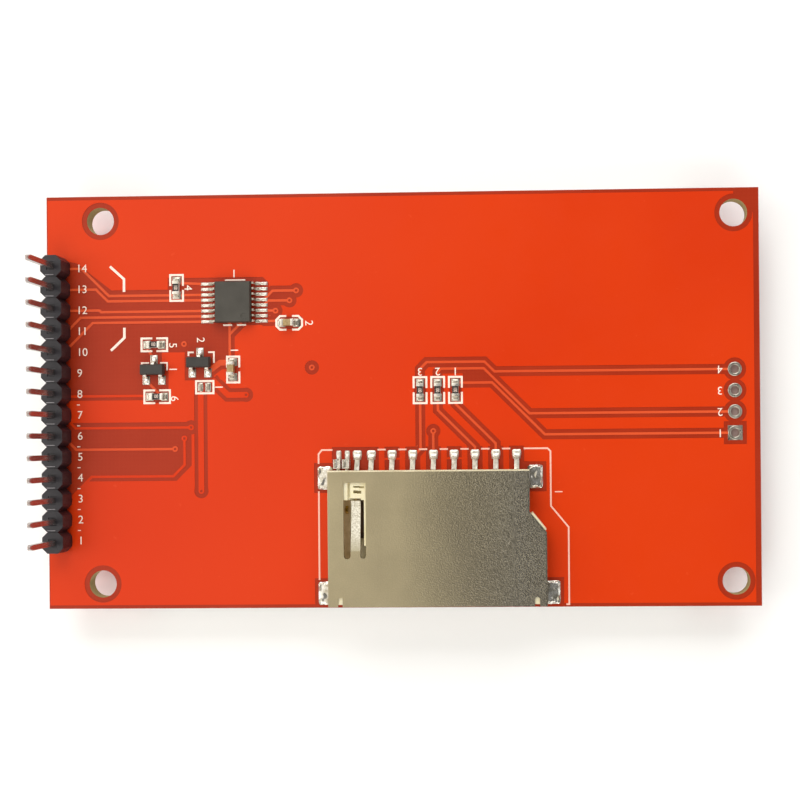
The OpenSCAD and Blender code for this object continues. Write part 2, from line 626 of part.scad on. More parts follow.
module solder_joints() color("#D5D3CB") {
    at_pins() difference() {
        translate([0, 0, z_board - pad_t]) mirror([0, 0, 1]) rotate_extrude($fn = 32)
            polygon([[0, 0], [ring_pad_d / 2 - 0.05, 0], [0.6, 0.3], [0.48, 0.65], [0.46, joint_h], [0, joint_h]]);
        translate([-pin_w / 2, -pin_w / 2, z_board - 2]) cube([pin_w, pin_w, 3]);
    }
    for (i = [1:9]) tail_bead(contact_x(i), contact_w);
    for (x = switch_tails) tail_bead(x, switch_w);
    for (t = tabs) translate([t[0] + t[2] * tab_w + (t[2] < 0 ? -0.18 : 0), t[1] - tab_l / 2, z_pad])
        cube([0.18, tab_l, shell_t]);
}

// ---------------------------------------------------------------- pin header

seam = 0.07;
mouth_w = 1;
mouth_depth = 0.15;

module header_housing() color("#1B1B1D") translate([header_x, 0, z_face]) difference() {
    half = housing_w / 2;
    neck = half - housing_cut;
    side = [for (i = [1:pin_count], q = [[neck, pitch / 2], [half, pitch / 2 - housing_cut],
        [half, housing_cut - pitch / 2]]) [q[0], pin_y(i) + q[1]]];
    end = [neck, pin_y(pin_count) - pitch / 2];
    outline = concat(side, [end]);
    linear_extrude(housing_h)
        polygon(concat(outline, [for (i = [len(outline) - 1:-1:0]) [-outline[i][0], outline[i][1]]]));
    for (i = [1:pin_count]) translate([0, pin_y(i), 0]) {
        translate([-pin_w / 2, -pin_w / 2, -1]) cube([pin_w, pin_w, housing_h + 2]);
        translate([-mouth_w / 2, -mouth_w / 2, housing_h - mouth_depth]) cube([mouth_w, mouth_w, 1]);
    }
    for (i = [1:pin_count - 1]) translate([0, pin_y(i) - pitch / 2, housing_h])
        cube([housing_w, seam, 2 * seam], center = true);
}

module header_pin(i) color("#B9A98C")
    translate([header_x, pin_y(i), z_board - pin_down]) {
        l = pin_down + board_t + copper_t + housing_h + pin_up;
        tip_w = pin_w / 2;
        tip_h = 0.5;
        outline = [[-tip_w / 2, 0], [tip_w / 2, 0], [pin_w / 2, tip_h], [pin_w / 2, l - tip_h], [tip_w / 2, l],
            [-tip_w / 2, l], [-pin_w / 2, l - tip_h], [-pin_w / 2, tip_h]];
        intersection() {
            rotate([90, 0, 0]) linear_extrude(pin_w, center = true) polygon(outline);
            rotate([90, 0, 90]) linear_extrude(pin_w, center = true) polygon(outline);
        }
    }

// ---------------------------------------------------------------- card socket

// Plan of the socket, counter-clockwise, with the back corner on the +X side stepped in and slanted
function socket_plan(front = socket_front) = [
    [socket_l, front], [socket_r, front], [socket_r, slant_front], [socket_step, slant_back],
    [socket_step, socket_back], [socket_l, socket_back]];

base_gap = 0.04;
slot_h = socket_h - shell_t - base_floor;
window_l = bay_l + 1.08;
window_r = window_l + 2.64;
window_back = socket_back - 1.45;
window_front = socket_back - 10.45;
tongue_l = window_l + 0.82;
tongue_r = tongue_l + 1.13;
tongue_tip = socket_back - 3.6;
tongue_root = window_front + 0.6;
bend_r = 0.3;
bend_steps = 4;
lip_h = 0.7;
lip_side = 0.45;
post_x = socket_r - 1.5;
post_w = 0.6;
notch_l = 1.1;
small_notch_x = bay_l + 0.35;
small_notch_w = 0.55;

module window_cut() {
    translate([window_l, window_front + 0.4]) square([tongue_l - window_l, window_back - window_front - 0.4]);
    translate([tongue_r, window_front + 0.4]) square([window_r - tongue_r, window_back - window_front - 0.4]);
    translate([tongue_l - eps, tongue_tip]) square([tongue_r - tongue_l + 2 * eps, window_back - tongue_tip]);
    for (c = [[(window_l + tongue_l) / 2, tongue_l - window_l], [(tongue_r + window_r) / 2, window_r - tongue_r]])
        translate([c[0], window_front + 0.4]) circle(d = c[1] - eps, $fn = 32);
}

// The leaf that presses on the card: bent down from its root, with its tip turned up
leaf_drop = 0.7;
module leaf() {
    top = socket_h - shell_t / 2;
    path = [[tongue_root - 0.8, top], [tongue_root, top], [tongue_root + 1, top - 0.1],
        [tongue_tip - 0.9, top - leaf_drop], [tongue_tip - 0.35, top - leaf_drop + 0.05], [tongue_tip, top - leaf_drop + 0.25]];
    translate([tongue_l + eps, 0, 0]) rotate([90, 0, 90]) linear_extrude(tongue_r - tongue_l - 2 * eps)
        polygon(band(path, shell_t));
}

module sd_shell() color("#A8A092") translate([0, 0, z_socket]) {
    difference() {
        union() {
            for (k = [0:bend_steps - 1]) let (a = 90 * (k + 0.5) / bend_steps, in = bend_r * (1 - cos(a)))
                linear_extrude(socket_h - bend_r + bend_r * (k + 1) / bend_steps)
                    polygon(shrunk(socket_plan(socket_front - step_in(k)), step_in(k)));
        }
        // hollow under the top sheet
        translate([0, 0, -1]) linear_extrude(socket_h - shell_t + 1)
            polygon(shrunk(socket_plan(socket_front - shell_t - 1), shell_t));
        // the back wall is only a lip, and the slanted side has none
        translate([socket_l + lip_side, socket_back - 1, -1])
            cube([socket_step - socket_l - 2 * lip_side, 2, socket_h - lip_h + 1]);
        translate([0, 0, -1]) linear_extrude(socket_h - shell_t + 1)
            line([[socket_step + 1.5, slant_back + 1.2], [socket_step, slant_back], [socket_r, slant_front],
                [socket_r + 0.6, slant_front - 0.72]], 1);
        translate([0, 0, 0.5]) linear_extrude(socket_h) window_cut();
        // notches at the mouth
        translate([post_x + post_w / 2, socket_front + notch_l - post_w / 2, 1]) cylinder(d = post_w, h = socket_h, $fn = 32);
        translate([post_x, socket_front - 1, 1]) cube([post_w, 1 + notch_l - post_w / 2, socket_h]);
        translate([small_notch_x, socket_front - 1, 1]) cube([small_notch_w, 1 + notch_l, socket_h]);
    }
    leaf();
    for (t = tabs) translate([t[0] - (t[2] < 0 ? tab_w : shell_t), t[1] - tab_l / 2, z_pad - z_socket])
        cube([tab_w + shell_t, tab_l, shell_t]);
}
function step_in(k) = bend_r * (1 - cos(asin(min(1, (k + 1) / bend_steps * 0.92))));

groove_w = contact_w + 0.04;
groove_h = base_floor + 0.1;
beam_w = contact_w + 0.24;
beam_room = 6;
rail_x = window_r - 0.24;
rail_w = 0.5;
rail_h = 0.6;
hook_w = 0.62;
hook_l = 1.1;
hook_h = 0.5;
slant_out = 0.25;
opening_in = 3.2;
opening_l = 4;

module sd_base() color("#E9E1C8") translate([0, 0, z_socket]) {
    base_h = socket_h - shell_t - 0.02;
    difference() {
        union() {
            linear_extrude(base_h) polygon(shrunk(socket_plan(), shell_t + base_gap));
            // the shell leaves the slanted side open, and the moulding comes out to its edge
            linear_extrude(base_h) line([[socket_step + 0.15, slant_back - 0.25], [socket_r - 0.25, slant_front + 0.15]],
                2 * slant_out);
        }
        // the bay that takes the card, with the card's cut corner
        translate([0, 0, base_floor]) linear_extrude(socket_h) polygon([
            [bay_l, socket_front - 1], [bay_r, socket_front - 1], [bay_r, bay_back - card_corner],
            [bay_r - card_corner, bay_back], [bay_l, bay_back]]);
        // grooves for the contacts, from the back to the end of their beams
        for (i = [1:9]) {
            translate([contact_x(i) - groove_w / 2, bay_back - beam_room, -1]) cube([groove_w, beam_room + 10, 1 + groove_h]);
            translate([contact_x(i) - beam_w / 2, bay_back - beam_room, -1]) cube([beam_w, beam_room, 2]);
        }
        for (x = switch_tails) translate([x - switch_w / 2 - 0.02, bay_back - switch_reach - 0.2, -1]) {
            cube([switch_w + 0.04, 12, 1 + groove_h]);
            cube([switch_w + 0.04, switch_reach + 0.2, 1 + switch_up + 2 * contact_t]);
        }
        // floor opening under the middle of the card
        translate([window_r + opening_in, socket_front + 1.5, -1])
            cube([bay_r - window_r - 2 * opening_in, opening_l, 3]);
        // room for the leaf, and the mould's recesses beside it
        translate([tongue_l - 0.1, bay_back - 1, socket_h - shell_t - leaf_drop - 0.4])
            cube([tongue_r - tongue_l + 0.2, 1.2, 3]);
        translate([tongue_l - 0.35, bay_back - 1, socket_h - 0.7]) cube([0.3, 4, 3]);
        translate([tongue_r - 0.35, bay_back + 0.75, socket_h - 1.2]) cube([0.5, 0.35, 3]);
        translate([tongue_r - 0.1, bay_back + 1.4, socket_h - 0.8]) cube([0.6, 0.22, 3]);
    }
    // a rail under the shell's window, and two hooks at the mouth over the card's thin edges
    translate([rail_x, window_front + 1.55, base_h - rail_h]) cube([rail_w, bay_back - window_front, rail_h]);
    translate([bay_l - eps, socket_front + shell_t + base_gap, base_h - hook_h]) cube([0.35 + hook_w + eps, hook_l, hook_h]);
    translate([bay_r - hook_w - 0.1, socket_front + shell_t + base_gap, base_h - hook_h]) cube([hook_w + 0.1 + eps, hook_l, hook_h]);
}

// A contact: tail on its pad, up through its groove, a sprung beam and a turned-down tip.
// Its levels are those of the sheet's middle above the board's face.
tail_bend = 0.4;
in_groove = 0.15;
beam_start = 0.35;
tip_l = 0.3;
crown_l = 0.4;

module contact_strip(x, w, reach, crown) {
    t = contact_t;
    tail_z = z_pad + t / 2;
    groove_z = z_socket + in_groove + t / 2;
    beam_z = z_socket + beam_start + t / 2;
    crown_z = z_socket + crown + t / 2;
    path = [[tail_end, tail_z], [socket_back - tail_bend / 2, tail_z], [socket_back - 1.5 * tail_bend, groove_z],
        [bay_back + tail_bend, groove_z], [bay_back - 1, beam_z], [bay_back - reach + tip_l + crown_l, crown_z],
        [bay_back - reach + tip_l, crown_z], [bay_back - reach, crown_z - beam_start]];
    translate([x - w / 2, 0, 0]) rotate([90, 0, 90]) linear_extrude(w) polygon(band(path, t));
}

beam_reach = 5;
crown_up = 1;
switch_reach = 1.8;
switch_up = 0.55;

module sd_contact(i) color("#D9B65A") contact_strip(contact_x(i), contact_w, beam_reach, crown_up);

module sd_switch_springs() color("#D9B65A")
    for (x = switch_tails) contact_strip(x, switch_w, switch_reach, switch_up);

// ---------------------------------------------------------------- touch controller and small parts

// A moulded block with draft on all sides, parted at half its height
module moulded(l, w, h, draft) intersection() {
    rotate([90, 0, 0]) linear_extrude(w + 1, center = true) polygon([[draft - l / 2, 0], [l / 2 - draft, 0],
        [l / 2, h / 2], [l / 2 - draft, h], [draft - l / 2, h], [-l / 2, h / 2]]);
    rotate([90, 0, 90]) linear_extrude(l + 1, center = true) polygon([[draft - w / 2, 0], [w / 2 - draft, 0],
        [w / 2, h / 2], [w / 2 - draft, h], [draft - w / 2, h], [-w / 2, h / 2]]);
}

chip_standoff = 0.1;
leg_t = 0.12;
leg_w = 0.26;
// A leg bent like a gull's wing, from the body's side at half height down to its foot
module gull_leg(from, to, mid, w) rotate([90, 0, 0]) linear_extrude(w, center = true)
    polygon(band([[from, mid], [from + 0.25, mid], [from + 0.4, leg_t / 2], [to, leg_t / 2]], leg_t));

module touch_chip() color("#33312E") translate([chip[0], chip[1], z_pad + chip_standoff]) difference() {
    moulded(chip_w, chip_l, chip_h, 0.12);
    translate([chip_w / 2 - 0.85, 0.75 - chip_l / 2, chip_h - 0.06]) cylinder(d = 0.66, h = 1, $fn = 32);
}

module touch_chip_legs() color("#D0CFC8") for (j = [1:8], s = [0, 1])
    translate([chip[0], chip_pad_y(j), z_pad]) mirror([s, 0, 0])
        gull_leg(chip_w / 2, chip_span / 2, chip_standoff + chip_h / 2, leg_w);

// A three-legged part: moulded body with its legs cast in
sot_span = 2.5;
module three_legged(at) translate([at[0], at[1], z_pad]) {
    translate([0, 0, chip_standoff]) moulded(sot_l, sot_w, sot_h, 0.1);
    for (g = sot_legs) translate([g[0], 0, 0]) rotate(g[1] * 90)
        gull_leg(sot_w / 2 - 0.1, sot_span / 2, chip_standoff + sot_h / 2, 0.42);
}

module transistor() color("#3A3835") three_legged(transistor_at);
module regulator() color("#3A3835") three_legged(regulator_at);

// A chip part: a ceramic block between two wrapped metal ends that stand a little proud
module chip_part(h, neck) {
    translate([0, 0, h / 2]) {
        cube([chip_part_l - cap_end, chip_part_w - 2 * neck, h - 2 * neck], center = true);
        for (s = [-1, 1]) translate([s * (chip_part_l - cap_end) / 2, 0, 0])
            cube([cap_end, chip_part_w, h], center = true);
    }
}

module resistor(i) color("#2B2A28") translate([resistors[i - 1][0], resistors[i - 1][1], z_pad])
    rotate(resistors[i - 1][2]) chip_part(resistor_h, 0.03);

module capacitor(i) color("#A48A63") translate([capacitors[i - 1][0] - (i == 1 ? 0.2 : 0.15),
    capacitors[i - 1][1] + (i == 1 ? 0.1 : 0), z_pad])
    rotate(capacitors[i - 1][2]) chip_part(capacitor_h, 0.02);

// ---------------------------------------------------------------- display, from the touch film up

film_end = lcd_x - touch_l / 2;
notch_w = flex_w + 1;
flex_out = 0.7;
fold_r = 0.5;
bond_on_glass = 1.8;
flex_under_board = 10;
touch_flex_y = lcd_w / 2 - 9.4;
touch_flex_in = 2.5;
touch_flex_under_board = 6;

module ring(l, w, inner_l, inner_w, z, t) translate([lcd_x, 0, z]) linear_extrude(t) difference() {
    square([l, w], center = true);
    square([inner_l, inner_w], center = true);
}

module touch_film() color([0.75, 0.8, 0.85, 0.6]) slab(touch_l, touch_w, 0, film_t);

module touch_glass() color([0.7, 0.78, 0.8, 0.5]) slab(touch_l, touch_w, z_touch_glass, touch_glass_t);

module touch_tape() color("#E8E6E0") {
    difference() {
        ring(touch_l, touch_w, touch_l - 2 * touch_tape_w, touch_w - 2 * touch_tape_w, film_t, bond_t);
        translate([film_end - 1, touch_flex_y - touch_flex_w / 2 - 0.1, 0])
            cube([touch_tape_w + 2, touch_flex_w + 0.2, 1]);
    }
    ring(touch_l, touch_w, touch_l - 2 * touch_tape_w, touch_w - 2 * touch_tape_w, z_touch_tape, touch_tape_t);
}

corner_cut = 0.9;

module display_frame() color("#F1F0EB") difference() {
    slab(lcd_l, lcd_w, z_frame, frame_t);
    slab(pocket_l, pocket_w, z_frame - 1, z_rear_polarizer - z_frame + 1);
    slab(well_l, well_w, z_frame - 1, frame_t + 2);
    // way out for the flexible circuit
    translate([lcd_end - 1, -notch_w / 2, z_frame - 1]) cube([frame_wall + 2, notch_w, z_tft - z_frame + 1.02]);
    // chamfered corners
    for (x = [-1, 1], y = [-1, 1]) translate([lcd_x + x * lcd_l / 2, y * lcd_w / 2, z_frame - 1])
        rotate(45) cube([corner_cut, corner_cut, 2 * frame_t + 4], center = true);
}

module polarizers() color("#23262B") {
    slab(tft_l - driver_strip - 1, tft_w - 1, z_front_polarizer, polarizer_t, lcd_x + driver_strip / 2);
    slab(well_l - 0.4, well_w - 0.4, z_rear_polarizer, polarizer_t);
}

module filter_glass() color([0.5, 0.55, 0.6, 0.6])
    slab(tft_l - driver_strip, tft_w, z_filter_glass, glass_t, lcd_x + driver_strip / 2);

module transistor_glass() color([0.55, 0.6, 0.65, 0.6]) slab(tft_l, tft_w, z_tft, glass_t);

guide_l = well_l - led_room - 0.1;
guide_x = lcd_x + led_room / 2;
module light_films() color("#F4F4F0") slab(guide_l, well_w - 0.3, z_films, films_t, guide_x);

module light_guide() color([0.9, 0.95, 1, 0.5]) slab(guide_l, well_w - 0.3, z_guide, guide_t, guide_x);

module reflector() color("#F7F7F5") slab(lcd_l - 0.6, lcd_w - 0.6, z_reflector, reflector_t);

led_count = 4;
led_l = 3;
led_d = 0.9;
strip_t = 0.1;
strip_in = 0.1;
strip_end_in = 1;
module led_strip() color("#F2DE8A") {
    x0 = lcd_x - well_l / 2 + strip_in;
    translate([x0, -well_w / 2 + strip_end_in, z_reflector - strip_t])
        cube([led_room - 2 * strip_in, well_w - 2 * strip_end_in, strip_t]);
    for (i = [1:led_count])
        translate([x0 + led_room - 2 * strip_in - led_d, (i - (led_count + 1) / 2) * well_w / led_count - led_l / 2, z_guide])
            cube([led_d, led_l, guide_t - strip_t]);
}

strip_x = lcd_end + frame_wall + glass_gap;
driver_in = 2.4;
driver_l = 18;
driver_w = 1.1;
driver_t = 0.4;

module driver_chip() color("#26282C")
    translate([strip_x + driver_in, -driver_l / 2, z_tft - driver_t]) cube([driver_w, driver_l, driver_t]);

// A flexible circuit folded round the frame: in at one level, out past the frame's end, back in under the board
function fold(x_in, x_out, x_back, z_in, z_back, r) = concat(
    [[x_in, z_in]],
    [for (a = [0:15:90]) [x_out + r - r * sin(a), z_in + r - r * cos(a)]],
    [for (a = [0:15:90]) [x_out + r - r * cos(a), z_back - r + r * sin(a)]],
    [[x_back, z_back]]);

module folded_flex(w, y, t, x_in, x_back, z_in, z_back) translate([0, y + w / 2, 0]) rotate([90, 0, 0])
    linear_extrude(w) polygon(band(fold(x_in, lcd_end - flex_out, x_back, z_in, z_back, fold_r), t));

z_flex_back = z_board - copper_t;
module display_flex() color("#B8702A")
    folded_flex(flex_w, 0, flex_t, strip_x + bond_on_glass, lcd_end + flex_under_board, z_tft - flex_t / 2,
        z_flex_back - flex_t / 2);

module touch_flex() color("#B8702A")
    folded_flex(touch_flex_w, touch_flex_y, bond_t, film_end + touch_flex_in, lcd_end + touch_flex_under_board,
        film_t + bond_t / 2, z_flex_back - bond_t / 2);

foam_in = 0.5;
foam_end_in = 2;

module mounting_tape() color("#DAD8D2") {
    for (s = [-1, 1]) translate([lcd_x + foam_end_in - lcd_l / 2, s * (lcd_w / 2 - foam_in - foam_w / 2) - foam_w / 2, z_foam])
        cube([lcd_l - 2 * foam_end_in, foam_w, foam_t]);
    translate([lcd_x + lcd_l / 2 - foam_end_in - foam_w, -lcd_w / 2 + foam_w + 2 * foam_in, z_foam])
        cube([foam_w, lcd_w - 2 * foam_w - 4 * foam_in, foam_t]);
}

circuit_board();
copper_back();
copper_front();
tinned_pads();
printed_legend();
solder_joints();
header_housing();
for (i = [1:pin_count]) header_pin(i);
sd_base();
sd_shell();
for (i = [1:9]) sd_contact(i);
sd_switch_springs();
touch_chip();
touch_chip_legs();
transistor();
regulator();
for (i = [1:6]) resistor(i);
for (i = [1:2]) capacitor(i);
touch_film();
touch_glass();
touch_tape();
display_frame();
polarizers();
filter_glass();
transistor_glass();
light_films();
light_guide();
reflector();
led_strip();
driver_chip();
display_flex();
touch_flex();
mounting_tape();
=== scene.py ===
import math
import bpy
from mathutils import Matrix, Vector


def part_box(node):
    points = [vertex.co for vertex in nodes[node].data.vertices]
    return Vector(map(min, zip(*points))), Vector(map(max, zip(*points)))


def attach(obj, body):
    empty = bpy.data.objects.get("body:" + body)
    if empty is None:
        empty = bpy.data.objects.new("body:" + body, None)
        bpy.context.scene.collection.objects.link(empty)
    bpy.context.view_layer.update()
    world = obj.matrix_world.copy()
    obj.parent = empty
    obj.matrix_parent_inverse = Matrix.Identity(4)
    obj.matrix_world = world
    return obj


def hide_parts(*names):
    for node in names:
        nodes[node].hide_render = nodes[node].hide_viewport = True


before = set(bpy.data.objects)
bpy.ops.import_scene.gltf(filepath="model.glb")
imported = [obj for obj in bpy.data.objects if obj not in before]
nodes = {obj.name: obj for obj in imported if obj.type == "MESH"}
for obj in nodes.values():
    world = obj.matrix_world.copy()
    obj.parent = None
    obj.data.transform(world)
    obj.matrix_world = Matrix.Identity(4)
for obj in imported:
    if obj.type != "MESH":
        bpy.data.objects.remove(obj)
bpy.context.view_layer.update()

mm = 0.001
print("frame loaded:", len(nodes), "nodes")

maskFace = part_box("copper_back")[1].z          # top of the mask on the component side
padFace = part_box("sd_contact_1")[0].z          # top of the tinned pads
shellLow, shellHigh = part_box("sd_shell")
headerX = (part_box("header_housing")[0].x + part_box("header_housing")[1].x) / 2


# camera, light and floor

view = {
    "place": (14.11, -5.20, 128.92),            # mm
    "right": (0.99964, -0.00855, -0.02560),
    "up": (0.00859, 0.99996, 0.00142),
    "back": (0.02558, -0.00164, 0.99967),
    "lens": 46.18, "sensor": 36, "shiftX": -0.1153, "shiftY": 0.0506, "near": 5,
}

# large soft boxes stand outside what the flat board mirrors to the camera; a dim one on the left shows in it
studio = {
    "floorSide": 1600, "floorDown": 0.02,       # mm
    "floorColour": "#FCFCFB", "floorRough": 0.85,
    "lights": (                                  # name, place and aim in mm, sides in mm, radiance, colour
        ("leftPanel", (-300, 10, 420), (-300, 10, 0), (490, 700), 0.95, "#FFF8EC"),
        ("backBox", (0, 560, 420), (0, 0, 0), (700, 460), 3.5, "#FFFFFF"),
        ("frontBox", (0, -540, 420), (0, 0, 0), (700, 420), 2.4, "#FFFDF8"),
        ("rightBox", (460, 0, 480), (0, 0, 0), (340, 420), 1.1, "#FFFFFF"),
        ("leftBox", (-620, 0, 400), (0, 0, 0), (420, 420), 2.6, "#FFFFFF"),
    ),
    "skyAbove": 0.1, "skyAround": 0.34,         # the room is dark above the camera and bright around
    "skyFade": (0.6, 0.9),                      # the one turns into the other between these heights
}


def hexColour(code):
    parts = [int(code[i:i + 2], 16) / 255 for i in (1, 3, 5)]
    return [c / 12.92 if c <= 0.04045 else ((c + 0.055) / 1.055) ** 2.4 for c in parts] + [1.0]


def addNode(tree, kind, settings=None, links=None):
    # a shader node with its properties, socket values and links in one go
    node = tree.nodes.new(kind)
    for name, value in (settings or {}).items():
        if isinstance(name, str) and name in node.bl_rna.properties:
            setattr(node, name, value)
        else:
            node.inputs[name].default_value = value
    for name, socket in (links or {}).items():
        tree.links.new(socket, node.inputs[name])
    return node


def placeCamera():
    bpy.ops.object.camera_add()
    camera = bpy.context.object
    camera.name = "viewCamera"
    turn = Matrix((view["right"], view["up"], view["back"])).transposed().to_4x4()
    camera.matrix_world = Matrix.Translation(Vector(view["place"]) * mm) @ turn
    camera.data.lens = view["lens"]
    camera.data.sensor_width = view["sensor"]
    camera.data.shift_x, camera.data.shift_y = view["shiftX"], view["shiftY"]
    camera.data.clip_start = view["near"] * mm
    bpy.context.scene.camera = camera


def layLights():
    for name, place, aim, sides, radiance, colour in studio["lights"]:
        bpy.ops.object.light_add(type="AREA", location=Vector(place) * mm)
        lamp = bpy.context.object
        lamp.name = name
        lamp.data.shape = "RECTANGLE"
        lamp.data.size, lamp.data.size_y = sides[0] * mm, sides[1] * mm
        lamp.data.energy = radiance * math.pi * sides[0] * sides[1] * mm * mm
        lamp.data.color = hexColour(colour)[:3]
        lamp.rotation_euler = (Vector(aim) - Vector(place)).to_track_quat("-Z", "Y").to_euler()


def layRoom():
    room = bpy.data.worlds.new("studioRoom")
    bpy.context.scene.world = room
    room.use_nodes = True
    tree = room.node_tree
    sky = tree.nodes["Background"]
    sky.inputs["Color"].default_value = (1, 1, 1, 1)
    upwards = addNode(tree, "ShaderNodeSeparateXYZ",
                      links={"Vector": addNode(tree, "ShaderNodeTexCoord").outputs["Generated"]})
    glow = addNode(tree, "ShaderNodeMapRange",
                   {"From Min": studio["skyFade"][0], "From Max": studio["skyFade"][1],
                    "To Min": studio["skyAround"], "To Max": studio["skyAbove"]},
                   {"Value": upwards.outputs["Z"]})
    tree.links.new(glow.outputs["Result"], sky.inputs["Strength"])


def layFloor():
    bpy.ops.mesh.primitive_plane_add(size=studio["floorSide"] * mm, location=(0, 0, -studio["floorDown"] * mm))
    floor = bpy.context.object
    floor.name = "studioFloor"
    paper = bpy.data.materials.new("seamlessPaper")
    paper.use_nodes = True
    shader = paper.node_tree.nodes["Principled BSDF"]
    shader.inputs["Base Color"].default_value = hexColour(studio["floorColour"])
    shader.inputs["Roughness"].default_value = studio["floorRough"]
    floor.data.materials.append(paper)


bpy.ops.object.select_all(action="DESELECT")
placeCamera()
layLights()
layRoom()
layFloor()
bpy.context.scene.view_settings.view_transform = "Standard"
print("camera, lights and floor set")


# materials

def startMaterial(name, **sockets):
    material = bpy.data.materials.new(name)
    material.use_nodes = True
    tree = material.node_tree
    shader = tree.nodes["Principled BSDF"]
    for socket, value in sockets.items():
        shader.inputs[socket.replace("_", " ")].default_value = value
    place = addNode(tree, "ShaderNodeTexCoord").outputs["Object"]
    return material, tree, shader, place


def perMm(size):
    return 1 / (size * mm)


def patches(tree, place, sizeMm, low=0.0, high=1.0, detail=3, stretch=(1, 1, 1), cut=(0.3, 0.7)):
    # soft blobs about sizeMm across, as numbers from low to high
    spot = addNode(tree, "ShaderNodeMapping", {"Scale": stretch}, {"Vector": place})
    noise = addNode(tree, "ShaderNodeTexNoise", {"Scale": perMm(sizeMm), "Detail": detail},
                    {"Vector": spot.outputs["Vector"]})
    span = addNode(tree, "ShaderNodeMapRange",
                   {"From Min": cut[0], "From Max": cut[1], "To Min": low, "To Max": high},
                   {"Value": noise.outputs["Fac"]})
    return span.outputs["Result"]


mixSockets = {"dark": 6, "light": 7, "result": 2}       # a Mix node has its colour sockets by number


def layTones(tree, shader, dark, light, amount):
    # the base colour drifts between two tones, each a hex code or a colour socket
    tones = addNode(tree, "ShaderNodeMix", {"data_type": "RGBA"}, {0: amount})
    for slot, tone in ((mixSockets["dark"], dark), (mixSockets["light"], light)):
        if isinstance(tone, str):
            tones.inputs[slot].default_value = hexColour(tone)
        else:
            tree.links.new(tone, tones.inputs[slot])
    result = tones.outputs[mixSockets["result"]]
    tree.links.new(result, shader.inputs["Base Color"])
    return result


def layRelief(tree, shader, height, depthMm, strength=0.5):
    bump = addNode(tree, "ShaderNodeBump", {"Strength": strength, "Distance": depthMm * mm}, {"Height": height})
    tree.links.new(bump.outputs["Normal"], shader.inputs["Normal"])
    return bump


def layGloss(tree, shader, place, sizeMm, span, stretch=(1, 1, 1)):
    # the roughness drifts over a span
    tree.links.new(patches(tree, place, sizeMm, *span, stretch=stretch), shader.inputs["Roughness"])


def layDrift(tree, shader, place, look):
    # the two tones of a look's dictionary, in patches at its scale
    tones = patches(tree, place, look["toneMm"], stretch=look.get("along", (1, 1, 1)))
    return layTones(tree, shader, look["dark"], look["light"], tones)


def layGrain(tree, shader, place, look):
    # gloss in patches and a fine relief, at the scale that a look's dictionary gives
    layGloss(tree, shader, place, look["roughMm"], look["rough"])
    layRelief(tree, shader, patches(tree, place, look["grainMm"]), look["grainDepthMm"], look["grain"])


# solder mask is a thin glossy epoxy ink over copper: bright where copper shines through, with a faint orange peel
# trackBright and trackDeep are the paler tones of the tracks, a painted highlight
maskInk = {"bright": "#D53A0A", "deep": "#CF3408", "trackBright": "#DB552D", "trackDeep": "#D34A24", "toneMm": 24,
           "speck": "#F0714A", "speckMm": 0.8, "speckShare": 0.1, "speckCut": (0.7, 0.76), "specular": 0.22,
           "rough": (0.28, 0.33), "roughMm": 3, "peelMm": 0.7, "peelDepthMm": 0.01, "peel": 0.12}


def makeMaskOnCopper(name, deep, bright):
    material, tree, shader, place = startMaterial(name, IOR=1.5, Specular_IOR_Level=maskInk["specular"])
    tone = layTones(tree, shader, deep, bright, patches(tree, place, maskInk["toneMm"], detail=1))
    speck = patches(tree, place, maskInk["speckMm"], 0, maskInk["speckShare"], cut=maskInk["speckCut"])
    layTones(tree, shader, tone, maskInk["speck"], speck)
    layGloss(tree, shader, place, maskInk["roughMm"], maskInk["rough"])
    peel = patches(tree, place, maskInk["peelMm"], detail=1)
    layRelief(tree, shader, peel, maskInk["peelDepthMm"], maskInk["peel"])
    return material


# the same ink over bare laminate is darker, and the glass cloth below shows as a faint grid;
# the routed edges show the plies of cloth in tan epoxy
laminate = {"mask": "#A42F12", "maskDeep": "#9A280C", "toneMm": 9, "specular": 0.25, "faceRough": 0.33,
            "thread": "#B84425", "threadShare": 0.04, "clothMm": 0.5, "clothSway": 1.2, "clothDetail": 1.0,
            "edge": "#B9A678", "edgeDark": "#8F7B4E", "plyMm": 0.2, "plySway": 2.5, "plyDetail": 2.0,
            "edgeRough": 0.75, "faceFrom": 0.7,         # a normal's Z above this is on a face, below it on an edge
            "dimpleMm": 0.4, "dimpleDepthMm": 0.01, "dimple": 0.15}
wavePeriod = 2 * math.pi / 20       # a Wave node at scale 1 repeats after this many units


